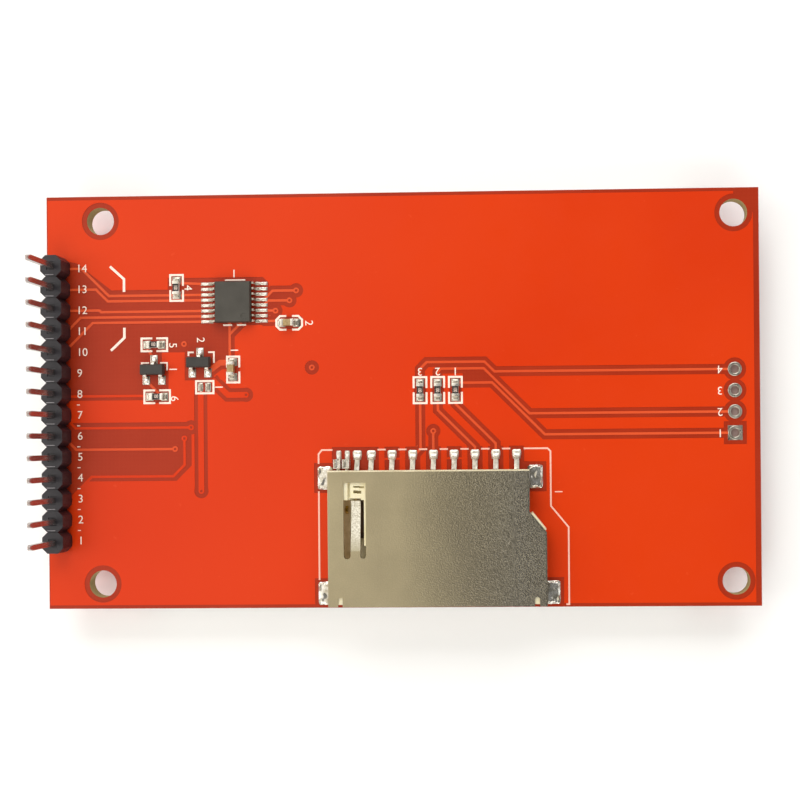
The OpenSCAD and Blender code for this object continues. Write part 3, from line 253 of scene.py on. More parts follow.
def makeLaminate():
    material, tree, shader, place = startMaterial("glassEpoxyLaminate", IOR=1.5,
                                                  Specular_IOR_Level=laminate["specular"])
    masked = layTones(tree, shader, laminate["maskDeep"], laminate["mask"], patches(tree, place, laminate["toneMm"]))
    for axis in ("X", "Y"):
        thread = addNode(tree, "ShaderNodeTexWave",
                         {"bands_direction": axis, "Scale": wavePeriod * perMm(laminate["clothMm"]),
                          "Distortion": laminate["clothSway"], "Detail": laminate["clothDetail"]}, {"Vector": place})
        faint = addNode(tree, "ShaderNodeMath", {"operation": "MULTIPLY", 1: laminate["threadShare"]},
                        {0: thread.outputs["Fac"]})
        masked = layTones(tree, shader, masked, laminate["thread"], faint.outputs[0])
    plies = addNode(tree, "ShaderNodeTexWave",
                    {"bands_direction": "Z", "Scale": wavePeriod * perMm(laminate["plyMm"]),
                     "Distortion": laminate["plySway"], "Detail": laminate["plyDetail"]}, {"Vector": place})
    routed = layTones(tree, shader, laminate["edgeDark"], laminate["edge"], plies.outputs["Fac"])
    facing = addNode(tree, "ShaderNodeSeparateXYZ",
                     links={"Vector": addNode(tree, "ShaderNodeNewGeometry").outputs["True Normal"]})
    level = addNode(tree, "ShaderNodeMath", {"operation": "ABSOLUTE"}, {0: facing.outputs["Z"]})
    flat = addNode(tree, "ShaderNodeMath", {"operation": "GREATER_THAN", 1: laminate["faceFrom"]},
                   {0: level.outputs[0]})
    layTones(tree, shader, routed, masked, flat.outputs[0])
    rough = addNode(tree, "ShaderNodeMapRange", {"To Min": laminate["edgeRough"], "To Max": laminate["faceRough"]},
                    {"Value": flat.outputs[0]})
    tree.links.new(rough.outputs["Result"], shader.inputs["Roughness"])
    dimples = patches(tree, place, laminate["dimpleMm"], detail=2)
    layRelief(tree, shader, dimples, laminate["dimpleDepthMm"], laminate["dimple"])
    return material


# hot-air levelled tin and solder: a bright skin that froze as it flowed, wavy and mirror-like in patches
waveRatio = 1.3         # the frozen waves are this much longer than the drift in tone


def makeTin(name, dark, light, rippleMm, depthMm, rough, metal=1.0):
    material, tree, shader, place = startMaterial(name, Metallic=metal)
    layTones(tree, shader, dark, light, patches(tree, place, rippleMm))
    layGloss(tree, shader, place, rippleMm, rough)
    layRelief(tree, shader, patches(tree, place, rippleMm * waveRatio, detail=1), depthMm)
    return material


# screen-printed epoxy ink: matt, with the red showing through its thin spots and the fine lines round the socket
legendInk = {"full": "#FBE4D4", "spot": "#F5B9A2", "spotMm": 0.22, "spotShare": 0.5, "spotCut": (0.6, 0.8),
             "line": "#EE9A7E", "lineShare": 0.6, "leftOfShell": 3, "behindShell": (3.2, 3),       # mm
             "rough": 0.55, "toothMm": 0.12, "toothDepthMm": 0.008, "tooth": 0.4}


def makeLegendInk():
    material, tree, shader, place = startMaterial("screenPrintedInk", Roughness=legendInk["rough"])
    spots = patches(tree, place, legendInk["spotMm"], 0, legendInk["spotShare"], cut=legendInk["spotCut"])
    full = layTones(tree, shader, legendInk["full"], legendInk["spot"], spots)
    parts = addNode(tree, "ShaderNodeSeparateXYZ", links={"Vector": place})
    right = addNode(tree, "ShaderNodeMath",
                    {"operation": "GREATER_THAN", 1: shellLow.x - legendInk["leftOfShell"] * mm},
                    {0: parts.outputs["X"]})
    far, near = (shellHigh.y + reach * mm for reach in legendInk["behindShell"])
    thin = addNode(tree, "ShaderNodeMapRange", {"From Min": far, "From Max": near, "To Max": legendInk["lineShare"]},
                   {"Value": parts.outputs["Y"]})
    both = addNode(tree, "ShaderNodeMath", {"operation": "MULTIPLY"},
                   {0: right.outputs[0], 1: thin.outputs["Result"]})
    layTones(tree, shader, full, legendInk["line"], both.outputs[0])
    layRelief(tree, shader, patches(tree, place, legendInk["toothMm"]), legendInk["toothDepthMm"], legendInk["tooth"])
    return material


# glass-filled nylon, moulded: dark grey, satin, with a fine flow grain
headerNylon = {"dark": "#1D1A1F", "light": "#2A272C", "toneMm": 1.4, "rough": (0.3, 0.48), "roughMm": 0.3,
               "grainMm": 0.12, "grainDepthMm": 0.008, "grain": 0.5}


def makeHeaderNylon():
    material, tree, shader, place = startMaterial("mouldedNylon")
    layDrift(tree, shader, place, headerNylon)
    layGrain(tree, shader, place, headerNylon)
    return material


# tinned brass drawn to square wire: bright, with fine lines along the wire
pinMetal = {"dark": "#A39794", "light": "#BDB1AC", "metal": 0.86, "rough": (0.14, 0.26), "lineMm": 0.12,
            "along": (1, 1, 0.04), "lineDepthMm": 0.003, "line": 0.3}


def makePinMetal():
    material, tree, shader, place = startMaterial("tinnedBrassWire", Metallic=pinMetal["metal"])
    lines = patches(tree, place, pinMetal["lineMm"], stretch=pinMetal["along"])
    layTones(tree, shader, pinMetal["dark"], pinMetal["light"], lines)
    layGloss(tree, shader, place, pinMetal["lineMm"], pinMetal["rough"], pinMetal["along"])
    layRelief(tree, shader, lines, pinMetal["lineDepthMm"], pinMetal["line"])
    return material


# matt-tinned steel sheet, rolled and stamped: dark tin grains and pale painted glints (a painted highlight), calm on
# the left and livelier towards +X, where the sheet is also painted greyer; calmTo and livelyFrom are in mm from the
# shell's two sides, each grain and glint has its tone, cut and share
shellSheet = {"dark": "#B0A384", "light": "#CDBF9A", "blotchMm": 7, "blotch": (0.35, 1), "grainMm": 0.17,
              "grainsAndGlints": (("#554E42", (0.4, 0.72), 0.7), ("#FFFBEE", (0.62, 0.7), 0.6)),
              "grey": "#64625D", "greyShare": 0.8, "calm": 0.16, "lively": 1.0, "calmTo": 10, "livelyFrom": 5,
              "rough": (0.42, 0.27), "grainDepthMm": 0.04}


def makeShellSheet():
    material, tree, shader, place = startMaterial("mattTinnedSteel", Metallic=1.0)
    across = addNode(tree, "ShaderNodeSeparateXYZ", links={"Vector": place})
    lively = addNode(tree, "ShaderNodeMapRange",
                     {"From Min": shellLow.x + shellSheet["calmTo"] * mm,
                      "From Max": shellHigh.x - shellSheet["livelyFrom"] * mm,
                      "To Min": shellSheet["calm"], "To Max": shellSheet["lively"]}, {"Value": across.outputs["X"]})
    sheet = layTones(tree, shader, shellSheet["dark"], shellSheet["light"],
                     patches(tree, place, shellSheet["blotchMm"], *shellSheet["blotch"]))
    # the pale tone is a painted glint, a painted highlight; the dark tone is grain in the tin
    for tone, cut, share in shellSheet["grainsAndGlints"]:
        grainsAndGlints = patches(tree, place, shellSheet["grainMm"], 0, share, cut=cut)
        shown = addNode(tree, "ShaderNodeMath", {"operation": "MULTIPLY"}, {0: grainsAndGlints, 1: lively.outputs["Result"]})
        sheet = layTones(tree, shader, sheet, tone, shown.outputs[0])
    # the sheet is painted greyer towards +X
    grey = addNode(tree, "ShaderNodeMath", {"operation": "MULTIPLY", 1: shellSheet["greyShare"]},
                   {0: lively.outputs["Result"]})
    layTones(tree, shader, sheet, shellSheet["grey"], grey.outputs[0])
    rough = addNode(tree, "ShaderNodeMapRange",
                    {"From Min": shellSheet["calm"], "From Max": shellSheet["lively"],
                     "To Min": shellSheet["rough"][0], "To Max": shellSheet["rough"][1]},
                    {"Value": lively.outputs["Result"]})
    tree.links.new(rough.outputs["Result"], shader.inputs["Roughness"])
    relief = layRelief(tree, shader, patches(tree, place, shellSheet["grainMm"], detail=2),
                       shellSheet["grainDepthMm"])
    tree.links.new(lively.outputs["Result"], relief.inputs["Strength"])
    return material


# painted highlight: where the sheet is bent over, its tin is painted paler and made glossier, standing in for the light
# the bend catches
bendHighlightSheet = {"dark": "#D9CDA9", "light": "#F0E7CB", "metal": 0.15, "toneMm": 0.5, "along": (0.2, 1, 1),
             "rough": (0.2, 0.32), "roughMm": 0.2}


def makeBendHighlightSheet():
    material, tree, shader, place = startMaterial("bendHighlightTinnedSteel", Metallic=bendHighlightSheet["metal"])
    layDrift(tree, shader, place, bendHighlightSheet)
    layGloss(tree, shader, place, bendHighlightSheet["roughMm"], bendHighlightSheet["rough"])
    return material


# the sprung leaf's tin is rougher, and it is painted whiter away from its root, a painted highlight where the bent leaf
# catches the light;
# its place is in mm from the shell's -X side, back and top
leaf = {"left": 4.22, "right": 5.41, "tip": -3.4, "root": -9.9, "tipHighlight": -7.5, "depth": 1.2, "slack": 0.02,
        "rootTone": "#B0A688", "dark": "#B4AB92", "light": "#F3EDDD", "toneMm": 0.16, "metal": 0.1,
        "rough": (0.4, 0.6), "roughMm": 0.14, "grainMm": 0.12, "grainDepthMm": 0.03, "grain": 0.7}


def makeLeafSheet():
    material, tree, shader, place = startMaterial("leafTipHighlightSteel", Metallic=leaf["metal"])
    tipHighlight = layDrift(tree, shader, place, leaf)
    along = addNode(tree, "ShaderNodeSeparateXYZ", links={"Vector": place})
    tipHighlightRamp = addNode(tree, "ShaderNodeMapRange",
                    {"From Min": shellHigh.y + leaf["root"] * mm, "From Max": shellHigh.y + leaf["tipHighlight"] * mm},
                    {"Value": along.outputs["Y"]})
    layTones(tree, shader, leaf["rootTone"], tipHighlight, tipHighlightRamp.outputs["Result"])
    layGrain(tree, shader, place, leaf)
    return material


# liquid crystal polymer, moulded: cream, satin, slightly streaked where it flowed
basePolymer = {"dark": "#DDD1A8", "light": "#EDE5C6", "toneMm": 1.2, "along": (1, 0.25, 1), "glow": 0.15,
               "glowMm": (0.6, 0.5, 0.3), "rough": (0.36, 0.5), "roughMm": 0.4,
               "grainMm": 0.15, "grainDepthMm": 0.006, "grain": 0.4}


def makeBasePolymer():
    material, tree, shader, place = startMaterial(
        "mouldedCreamPolymer", Subsurface_Weight=basePolymer["glow"],
        Subsurface_Radius=tuple(reach * mm for reach in basePolymer["glowMm"]))
    layDrift(tree, shader, place, basePolymer)
    layGrain(tree, shader, place, basePolymer)
    return material


# phosphor bronze contact: gold flash inside the socket, tin on the tail outside it
contactMetal = {"gold": ("#C99A45", "#E8C477"), "tin": ("#DDD6C4", "#F8F4E8"), "streakMm": 0.12,
                "streak": (1, 0.15, 1), "turns": (0.5, 0.2),        # mm in from the back of the base
                "rough": (0.2, 0.42), "roughMm": 0.15,
                "waveMm": 0.5, "along": (1, 0.4, 1), "waveDepthMm": 0.02, "wave": 0.3}


def makeContactMetal():
    material, tree, shader, place = startMaterial("platedPhosphorBronze", Metallic=1.0)
    along = addNode(tree, "ShaderNodeSeparateXYZ", links={"Vector": place})
    goldTo, tinFrom = (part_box("sd_base")[1].y - inside * mm for inside in contactMetal["turns"])
    tail = addNode(tree, "ShaderNodeMapRange", {"From Min": goldTo, "From Max": tinFrom},
                   {"Value": along.outputs["Y"]})
    streaks = patches(tree, place, contactMetal["streakMm"], stretch=contactMetal["streak"])
    gold = layTones(tree, shader, *contactMetal["gold"], streaks)
    tinned = layTones(tree, shader, *contactMetal["tin"], streaks)
    layTones(tree, shader, gold, tinned, tail.outputs["Result"])
    layGloss(tree, shader, place, contactMetal["roughMm"], contactMetal["rough"])
    waves = patches(tree, place, contactMetal["waveMm"], detail=1, stretch=contactMetal["along"])
    layRelief(tree, shader, waves, contactMetal["waveDepthMm"], contactMetal["wave"])
    return material


# moulded epoxy package: warm dark grey, fine matt grain from the tool's spark-eroded face
packageEpoxy = {"rough": 0.6, "toneMm": 1.6, "grainMm": 0.1, "grainDepthMm": 0.008}


def makePackageEpoxy(name, dark, light):
    material, tree, shader, place = startMaterial(name, Roughness=packageEpoxy["rough"])
    layTones(tree, shader, dark, light, patches(tree, place, packageEpoxy["toneMm"]))
    layRelief(tree, shader, patches(tree, place, packageEpoxy["grainMm"]), packageEpoxy["grainDepthMm"])
    return material


# plain opaque stuff that differs in tone, gloss and grain: ceramics, frame plastic, films, tapes, silicon, and the
# painted shade in the slot and the holes
def makePlain(name, dark, light, toneMm, rough, grainMm, depthMm):
    material, tree, shader, place = startMaterial(name, Roughness=rough)
    layTones(tree, shader, dark, light, patches(tree, place, toneMm))
    layRelief(tree, shader, patches(tree, place, grainMm), depthMm)
    return material


# clear sheets: hard-coated touch film with a satin face, soda-lime glass and acrylic
def makeClear(name, tint, rough, ior, haze, hazeMm=0.5):
    material, tree, shader, place = startMaterial(name, Base_Color=hexColour(tint), Transmission_Weight=1.0, IOR=ior)
    layGloss(tree, shader, place, hazeMm, (rough, rough + haze))
    return material


# front polarizer over an unlit panel: nearly black, the picture area a little greyer than the border
screen = {"length": 57.6, "width": 43.2, "border": "#0B0C0E", "picture": "#1B1E22", "cloud": "#23272C",
          "cloudMm": 12, "rough": 0.18}


def makePolarizer():
    material, tree, shader, place = startMaterial("darkPolarizerFilm", Roughness=screen["rough"], IOR=1.49)
    low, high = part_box("polarizers")
    centre = addNode(tree, "ShaderNodeMapping",
                     {"Location": (-(low.x + high.x) / 2, -(low.y + high.y) / 2, 0)}, {"Vector": place})
    parts = addNode(tree, "ShaderNodeSeparateXYZ", links={"Vector": centre.outputs["Vector"]})
    inside = []
    for axis, span in (("X", screen["length"]), ("Y", screen["width"])):
        off = addNode(tree, "ShaderNodeMath", {"operation": "ABSOLUTE"}, {0: parts.outputs[axis]})
        inside.append(addNode(tree, "ShaderNodeMath", {"operation": "LESS_THAN", 1: span / 2 * mm},
                              {0: off.outputs[0]}).outputs[0])
    both = addNode(tree, "ShaderNodeMath", {"operation": "MULTIPLY"}, {0: inside[0], 1: inside[1]})
    picture = layTones(tree, shader, screen["picture"], screen["cloud"],
                       patches(tree, place, screen["cloudMm"], detail=1))
    layTones(tree, shader, screen["border"], picture, both.outputs[0])
    return material


# polyimide ribbon: amber film with copper lines along its length
ribbon = {"film": "#8A4A14", "copper": "#C7812F", "lineCut": (0.45, 0.6), "lineDepthMm": 0.01, "rough": 0.28}


def makeRibbon(name, pitchMm):
    material, tree, shader, place = startMaterial(name, Roughness=ribbon["rough"], IOR=1.7)
    lines = addNode(tree, "ShaderNodeTexWave",
                    {"bands_direction": "Y", "wave_profile": "SIN", "Scale": wavePeriod * perMm(pitchMm)},
                    {"Vector": place})
    traces = addNode(tree, "ShaderNodeMapRange",
                     {"From Min": ribbon["lineCut"][0], "From Max": ribbon["lineCut"][1]},
                     {"Value": lines.outputs["Fac"]})
    layTones(tree, shader, ribbon["film"], ribbon["copper"], traces.outputs["Result"])
    layRelief(tree, shader, traces.outputs["Result"], ribbon["lineDepthMm"])
    return material


looks = {
    "mask": makeMaskOnCopper("epoxyMaskOnCopper", maskInk["deep"], maskInk["bright"]),
    "trackMaskHighlight": makeMaskOnCopper("epoxyMaskOnTracksHighlight", maskInk["trackDeep"], maskInk["trackBright"]),
    "laminate": makeLaminate(),
    "tin": makeTin("levelledTin", "#A39B8D", "#C9C2B4", 0.6, 0.012, (0.24, 0.36)),
    "solder": makeTin("frozenSolder", "#DCD6C8", "#F7F3EA", 0.6, 0.02, (0.22, 0.34), 0.8),
    "thickSolder": makeTin("thickFrozenSolder", "#BDB5A0", "#FFFCF4", 0.7, 0.12, (0.12, 0.2), 0.85),
    "bronze": makeTin("springBronze", "#DDBB8A", "#F0D3A8", 0.9, 0.01, (0.3, 0.4), 0.1),
    "slotShade": makePlain("paintedSlotShade", "#4E3826", "#5F4733", 0.8, 0.5, 0.2, 0.01),
    "tailTin": makeTin("tinnedTail", "#CFC8B6", "#F6F1E4", 0.35, 0.02, (0.3, 0.44), 0.6),
    "ink": makeLegendInk(),
    "nylon": makeHeaderNylon(),
    "pin": makePinMetal(),
    "shaded": makePlain("paintedShadeGrey", "#8C746E", "#A08882", 0.8, 0.6, 0.2, 0.01),
    "shell": makeShellSheet(),
    "leaf": makeLeafSheet(),
    "bendHighlight": makeBendHighlightSheet(),
    "base": makeBasePolymer(),
    "contact": makeContactMetal(),
    "chip": makePackageEpoxy("packageEpoxy", "#3A362E", "#444038"),
    "small": makePackageEpoxy("smallPackageEpoxy", "#2C2925", "#37332E"),
    "glaze": makePlain("blackResistorGlaze", "#1F1B18", "#2E2824", 0.3, 0.3, 0.1, 0.004),
    "seamHighlight": makePlain("seamHighlightNylon", "#A8A3A6", "#C4BFC2", 0.3, 0.5, 0.08, 0.004),
    "alumina": makePlain("whiteAlumina", "#D8D3C6", "#ECE8DE", 0.3, 0.5, 0.1, 0.004),
    "titanate": makePlain("tanCapacitorCeramic", "#93794F", "#B79C6C", 0.3, 0.45, 0.1, 0.006),
    "frameWhite": makePlain("whitePolycarbonate", "#E6E5E0", "#F1F0EC", 3, 0.42, 0.2, 0.006),
    "tape": makePlain("whitePaperTape", "#D3D0C6", "#E2DFD6", 3, 0.75, 0.25, 0.02),
    "reflector": makePlain("whiteReflectorFilm", "#E4E4E2", "#F0F0EE", 5, 0.35, 0.6, 0.004),
    "film": makeClear("hardCoatedFilm", "#EEF2F2", 0.12, 1.57, 0.06),
    "glass": makeClear("sodaLimeGlass", "#E8F3F0", 0.02, 1.52, 0.01),
    "cell": makePlain("cellGlassEdge", "#39413F", "#46504D", 3, 0.12, 0.4, 0.002),
    "polarizer": makePolarizer(),
    "guide": makeClear("acrylicGuide", "#F4F8FA", 0.08, 1.49, 0.02),
    "diffuser": makePlain("diffuserFilm", "#ECEDED", "#F6F6F5", 5, 0.5, 0.1, 0.004),
    "phosphor": makePlain("ledPhosphor", "#E2C64E", "#EFD978", 1, 0.6, 0.15, 0.01),
    "silicon": makePlain("polishedSilicon", "#23252A", "#2E3137", 3, 0.12, 0.5, 0.001),
    "ribbon": makeRibbon("polyimideRibbon", 0.9),
    "touchRibbon": makeRibbon("touchRibbonFilm", 1.2),
}
print("materials made:", len(looks))


# CAD nodes that keep their shape

nodeLooks = {
    "mask": ("copper_front",),
    "ink": ("printed_legend",),
    "film": ("touch_film",),
    "glass": ("touch_glass",),
    "tape": ("touch_tape", "mounting_tape"),
    "cell": ("filter_glass", "transistor_glass"),
    "polarizer": ("polarizers",),
    "diffuser": ("light_films",),
    "guide": ("light_guide",),
    "reflector": ("reflector",),
    "phosphor": ("led_strip",),
    "silicon": ("driver_chip",),
    "ribbon": ("display_flex",),
    "touchRibbon": ("touch_flex",),
}
for look, names in nodeLooks.items():
    for name in names:
        nodes[name].data.materials.clear()
        nodes[name].data.materials.append(looks[look])


# modelling helpers

facingUp = 0.9          # a face whose normal's Z is above this counts as level


def makeActive(piece):
    if bpy.context.object and bpy.context.object.mode != "OBJECT":
        bpy.ops.object.mode_set(mode="OBJECT")
    bpy.ops.object.select_all(action="DESELECT")
    piece.select_set(True)
    bpy.context.view_layer.objects.active = piece


def editAll(piece):
    makeActive(piece)
    bpy.ops.object.mode_set(mode="EDIT")
    bpy.ops.mesh.select_all(action="SELECT")


def applyModifier(piece, kind, **settings):
    makeActive(piece)
    modifier = piece.modifiers.new(kind.title(), kind)
    for name, value in settings.items():
        setattr(modifier, name, value)
    bpy.ops.object.modifier_apply(modifier=modifier.name)


def breakEdges(piece, widthMm, degrees=30, segments=2):
    applyModifier(piece, "BEVEL", width=widthMm * mm, segments=segments, limit_method="ANGLE",
                  angle_limit=math.radians(degrees))


def pick(piece, what, test):
    # leaves edit mode on, with the faces or points chosen by their place
    makeActive(piece)
    bpy.ops.object.mode_set(mode="EDIT")
    bpy.ops.mesh.select_mode(type="FACE" if what == "faces" else "VERT")
    bpy.ops.mesh.select_all(action="DESELECT")
    bpy.ops.object.mode_set(mode="OBJECT")
    for item in piece.data.polygons if what == "faces" else piece.data.vertices:
        item.select = test(item)
    bpy.ops.object.mode_set(mode="EDIT")


def finishPiece(piece, name, look, replaced=()):
    makeActive(piece)
    piece.name = name
    piece.data.name = name
    piece.data.materials.clear()
    piece.data.materials.append(looks[look])
    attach(piece, "root")
    if replaced:
        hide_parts(*replaced)
    return piece


def joinAll(pieces):
    makeActive(pieces[0])
    for piece in pieces:
        piece.select_set(True)
    if len(pieces) > 1:
        bpy.ops.object.join()
    return bpy.context.object


def copyTo(model, places):
    # a copy of the model, with its own mesh, at each place in mm, turned about Z, joined into one piece
    made = []
    for x, y, z, turn in places:
        piece = model.copy()
        piece.data = model.data.copy()
        bpy.context.scene.collection.objects.link(piece)
        piece.location = Vector((x, y, z)) * mm
        piece.rotation_euler.z = math.radians(turn)
        made.append(piece)
    bpy.data.objects.remove(model)
    whole = joinAll(made)
    bpy.ops.object.transform_apply(location=True, rotation=True, scale=True)
    return whole


def modelBar(place, sides):
    bpy.ops.mesh.primitive_cube_add(size=mm, location=Vector(place) * mm)
    bar = bpy.context.object
    bar.scale = sides
    bpy.ops.object.transform_apply(location=True, scale=True)
    return bar


def cornersInMm(name):
    return tuple(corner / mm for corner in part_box(name))


def inMm(name):
    # middle of the node's box and its high corner
    low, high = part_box(name)
    return (low + high) / 2 / mm, high / mm


# pieces that follow a CAD node, with their edges broken

softening = {"mergeMm": 0.0004, "levelDegrees": 0.5, "smoothDegrees": 60, "weight": 50}


def softenedCopy(pieceName, sources, look, widthMm, segments=2, cutters=()):
    # moulding, stamping and plating leave no knife edges: a merged copy of the nodes gets a small bevel
    copies = []
    for name in sources:
        piece = bpy.data.objects.new(pieceName, nodes[name].data.copy())
        bpy.context.scene.collection.objects.link(piece)
        copies.append(piece)
    piece = joinAll(copies)
    editAll(piece)
    bpy.ops.mesh.remove_doubles(threshold=softening["mergeMm"] * mm)
    bpy.ops.mesh.dissolve_limited(angle_limit=math.radians(softening["levelDegrees"]))
    bpy.ops.object.mode_set(mode="OBJECT")
    for cutter in cutters:
        applyModifier(piece, "BOOLEAN", object=cutter, operation="DIFFERENCE", solver="EXACT")
        bpy.data.objects.remove(cutter)
    breakEdges(piece, widthMm, segments=segments)
    makeActive(piece)
    bpy.ops.object.shade_smooth_by_angle(angle=math.radians(softening["smoothDegrees"]))
    applyModifier(piece, "WEIGHTED_NORMAL", mode="FACE_AREA", weight=softening["weight"], keep_sharp=True)
    return finishPiece(piece, pieceName, look, sources)


def paintFaces(piece, look, test):
    # the faces that pass the test get a second material
    makeActive(piece)
    piece.data.materials.append(looks[look])
    index = len(piece.data.materials) - 1
    for face in piece.data.polygons:
        if test(face.center / mm, face.normal):
            face.material_index = index


counts = {"pins": 14, "contacts": 9, "resistors": 6, "capacitors": 2, "cardPads": 4}
pinNames = tuple(f"header_pin_{i + 1}" for i in range(counts["pins"]))
contactNames = tuple(f"sd_contact_{i + 1}" for i in range(counts["contacts"]))
softened = {                # CAD nodes, look, slot, width of the broken edge in mm and its segments
    "laminateBoard": (("circuit_board",), "laminate", "laminate", 0.05, 2),
    "maskedCopper": (("copper_back",), "mask", "solder_mask", 0.018, 2),
    "tinnedPads": (("tinned_pads",), "tin", "tin", 0.02, 2),
    "headerStrip": (("header_housing",), "nylon", "black_plastic", 0.06, 3),
    "headerPins": (pinNames, "pin", "pin_metal", 0.05, 3),
    "socketShell": (("sd_shell",), "shell", "shell_steel", 0.04, 2),
    "socketBase": (("sd_base",), "base", "cream_plastic", 0.03, 2),
    "socketContacts": (contactNames + ("sd_switch_springs",), "contact", "contact_gold", 0.04, 2),
    "touchChipBody": (("touch_chip",), "chip", "moulded_black", 0.05, 3),
    "touchChipLegs": (("touch_chip_legs",), "tin", "tin", 0.05, 3),
    "displayFrame": (("display_frame",), "frameWhite", "white_plastic", 0.1, 3),
}

# the flat sheet over the sprung leaf goes, down to the slope on which the leaf leaves the shell
overLeaf = {"x": -5.205, "wide": 1.2, "high": 1, "root": -17.95, "knee": -16.4, "end": -11.4, "under": 8.262,
            "rise": 0.224, "slack": 0.01}
# the mould's recesses beyond the leaf run on to the left; each has its middle and its sides in mm
recesses = (((-5.2, -10.93, 8.0), (0.5, 0.35, 1.6)), ((-5.05, -10.34, 8.3), (0.8, 0.2, 1.4)))


def modelOverLeaf():
    # a bar whose underside is raised at the leaf's root
    middle = (overLeaf["root"] + overLeaf["end"]) / 2
    bar = modelBar((overLeaf["x"], middle, overLeaf["under"] + overLeaf["high"] / 2),
                   (overLeaf["wide"], overLeaf["end"] - overLeaf["root"], overLeaf["high"]))
    editAll(bar)
    bpy.ops.mesh.bisect(plane_co=(0, overLeaf["knee"] * mm, 0), plane_no=(0, 1, 0))
    pick(bar, "points", lambda point:
         point.co.y / mm < overLeaf["root"] + overLeaf["slack"]
         and point.co.z / mm < overLeaf["under"] + overLeaf["slack"])
    bpy.ops.transform.translate(value=(0, 0, overLeaf["rise"] * mm))
    bpy.ops.object.mode_set(mode="OBJECT")
    return bar


cuts = {"socketShell": [modelOverLeaf()], "socketBase": [modelBar(place, sides) for place, sides in recesses]}
for pieceName, (sources, look, slot, width, segments) in softened.items():
    softenedCopy(pieceName, sources, look, width, segments, cutters=cuts.get(pieceName, ()))
    print("softened:", pieceName)


# narrow tracks round up under the ink and catch more light than the wide pour: that light is painted into a paler mask
# on them, a painted highlight
trackRatio = 6          # a face this many times as large as its rim is pour, a smaller one is a track


def paintTracks(piece):
    piece.data.materials.append(looks["trackMaskHighlight"])
    editAll(piece)
    bpy.ops.mesh.separate(type="LOOSE")
    bpy.ops.object.mode_set(mode="OBJECT")
    islands = [piece] + [island for island in bpy.context.selected_objects if island != piece]
    for island in islands:
        top = sum(face.area for face in island.data.polygons if face.normal.z > facingUp)
        rim = sum(face.area for face in island.data.polygons) - 2 * top
        if top < trackRatio * rim:
            for face in island.data.polygons:
                face.material_index = 1
    joinAll(islands)


paintTracks(bpy.data.objects["maskedCopper"])

# along its back the sheet is bent over and carries a painted highlight: that strip is first cut off the faces that run
# round the shell
bendHighlightStrip = {"in": 0.5, "down": 0.32, "slack": 0.002}
shell = bpy.data.objects["socketShell"]
editAll(shell)
bpy.ops.mesh.bisect(plane_co=(0, shellHigh.y - bendHighlightStrip["in"] * mm, 0), plane_no=(0, 1, 0))
paintFaces(shell, "bendHighlight", lambda centre, normal:
           centre.y > shellHigh.y / mm - bendHighlightStrip["in"]
           and shellHigh.z / mm - bendHighlightStrip["down"] < centre.z < shellHigh.z / mm - bendHighlightStrip["slack"])
# the leaf's faces get its own material, painted whiter towards the tip as a highlight
paintFaces(shell, "leaf", lambda centre, normal:
           leaf["left"] - leaf["slack"] < centre.x - shellLow.x / mm < leaf["right"] + leaf["slack"]
           and leaf["root"] < centre.y - shellHigh.y / mm < leaf["tip"] + leaf["slack"]
           and centre.z > shellHigh.z / mm - leaf["depth"])

# under the window lie a strip of spring bronze and, on the leaf's other side, a dark strip that is painted shade in the
# deep slot, and a rail;
# each has its middle and sides in mm, its look and its slot
underWindow = {"bronzeStrip": ((-6.62, -15.5, 6.1), (0.9, 7.4, 0.1), "bronze", "contact_gold"),
               "slotShadeStrip": ((-4.85, -14.1, 6.1), (1.0, 4.9, 0.1), "slotShade", "black_plastic"),
               "paleRail": ((-4.75, -17.8, 6.1), (1.2, 2.4, 0.1), "base", "cream_plastic")}
underWindowEdge = 0.03
for name, (place, sides, look, slot) in underWindow.items():
    strip = modelBar(place, sides)
    breakEdges(strip, underWindowEdge)
    finishPiece(strip, name, look)

# the tails slope down from the socket to their pads: they are lifted from before their root to after it
tailSlope = {"root": -8.35, "knee": -7.3, "lift": 0.46, "tinFrom": -8.45, "before": 0.45, "after": 0.05}
contacts = bpy.data.objects["socketContacts"]
for y in (tailSlope["root"], tailSlope["knee"]):
    editAll(contacts)
    bpy.ops.mesh.bisect(plane_co=(0, y * mm, 0), plane_no=(0, 1, 0))
paintFaces(contacts, "tailTin", lambda centre, normal: centre.y > tailSlope["tinFrom"])
pick(contacts, "points", lambda point:
     tailSlope["root"] - tailSlope["before"] < point.co.y / mm < tailSlope["root"] + tailSlope["after"])
bpy.ops.transform.translate(value=(0, 0, tailSlope["lift"] * mm))
bpy.ops.object.mode_set(mode="OBJECT")

# pale bars lie along the breaking lines between the header's blocks: a painted highlight on the edges there
crease = {"width": 1.0, "thick": 0.05, "high": 0.04, "edge": 0.012, "left": -0.15, "up": 0.2}
bar = modelBar((0, 0, 0), (crease["width"], crease["thick"], crease["high"]))
breakEdges(bar, crease["edge"])
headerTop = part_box("header_housing")[1].z / mm
pinY = [inMm(name)[0].y for name in pinNames]
creasePlaces = [(headerX / mm + crease["left"], (pinY[i] + pinY[i + 1]) / 2 + crease["up"], headerTop, 0)
                for i in range(counts["pins"] - 1)]
finishPiece(copyTo(bar, creasePlaces), "headerSeamHighlights", "seamHighlight")
print("tracks, leaf, tails and creases done")

# small parts: each has metal ends or legs and a body of its own stuff

smallParts = {"capEnd": 0.27, "legFrom": 0.66, "edgeMm": 0.04, "topFrom": 0.8, "slack": 0.01}


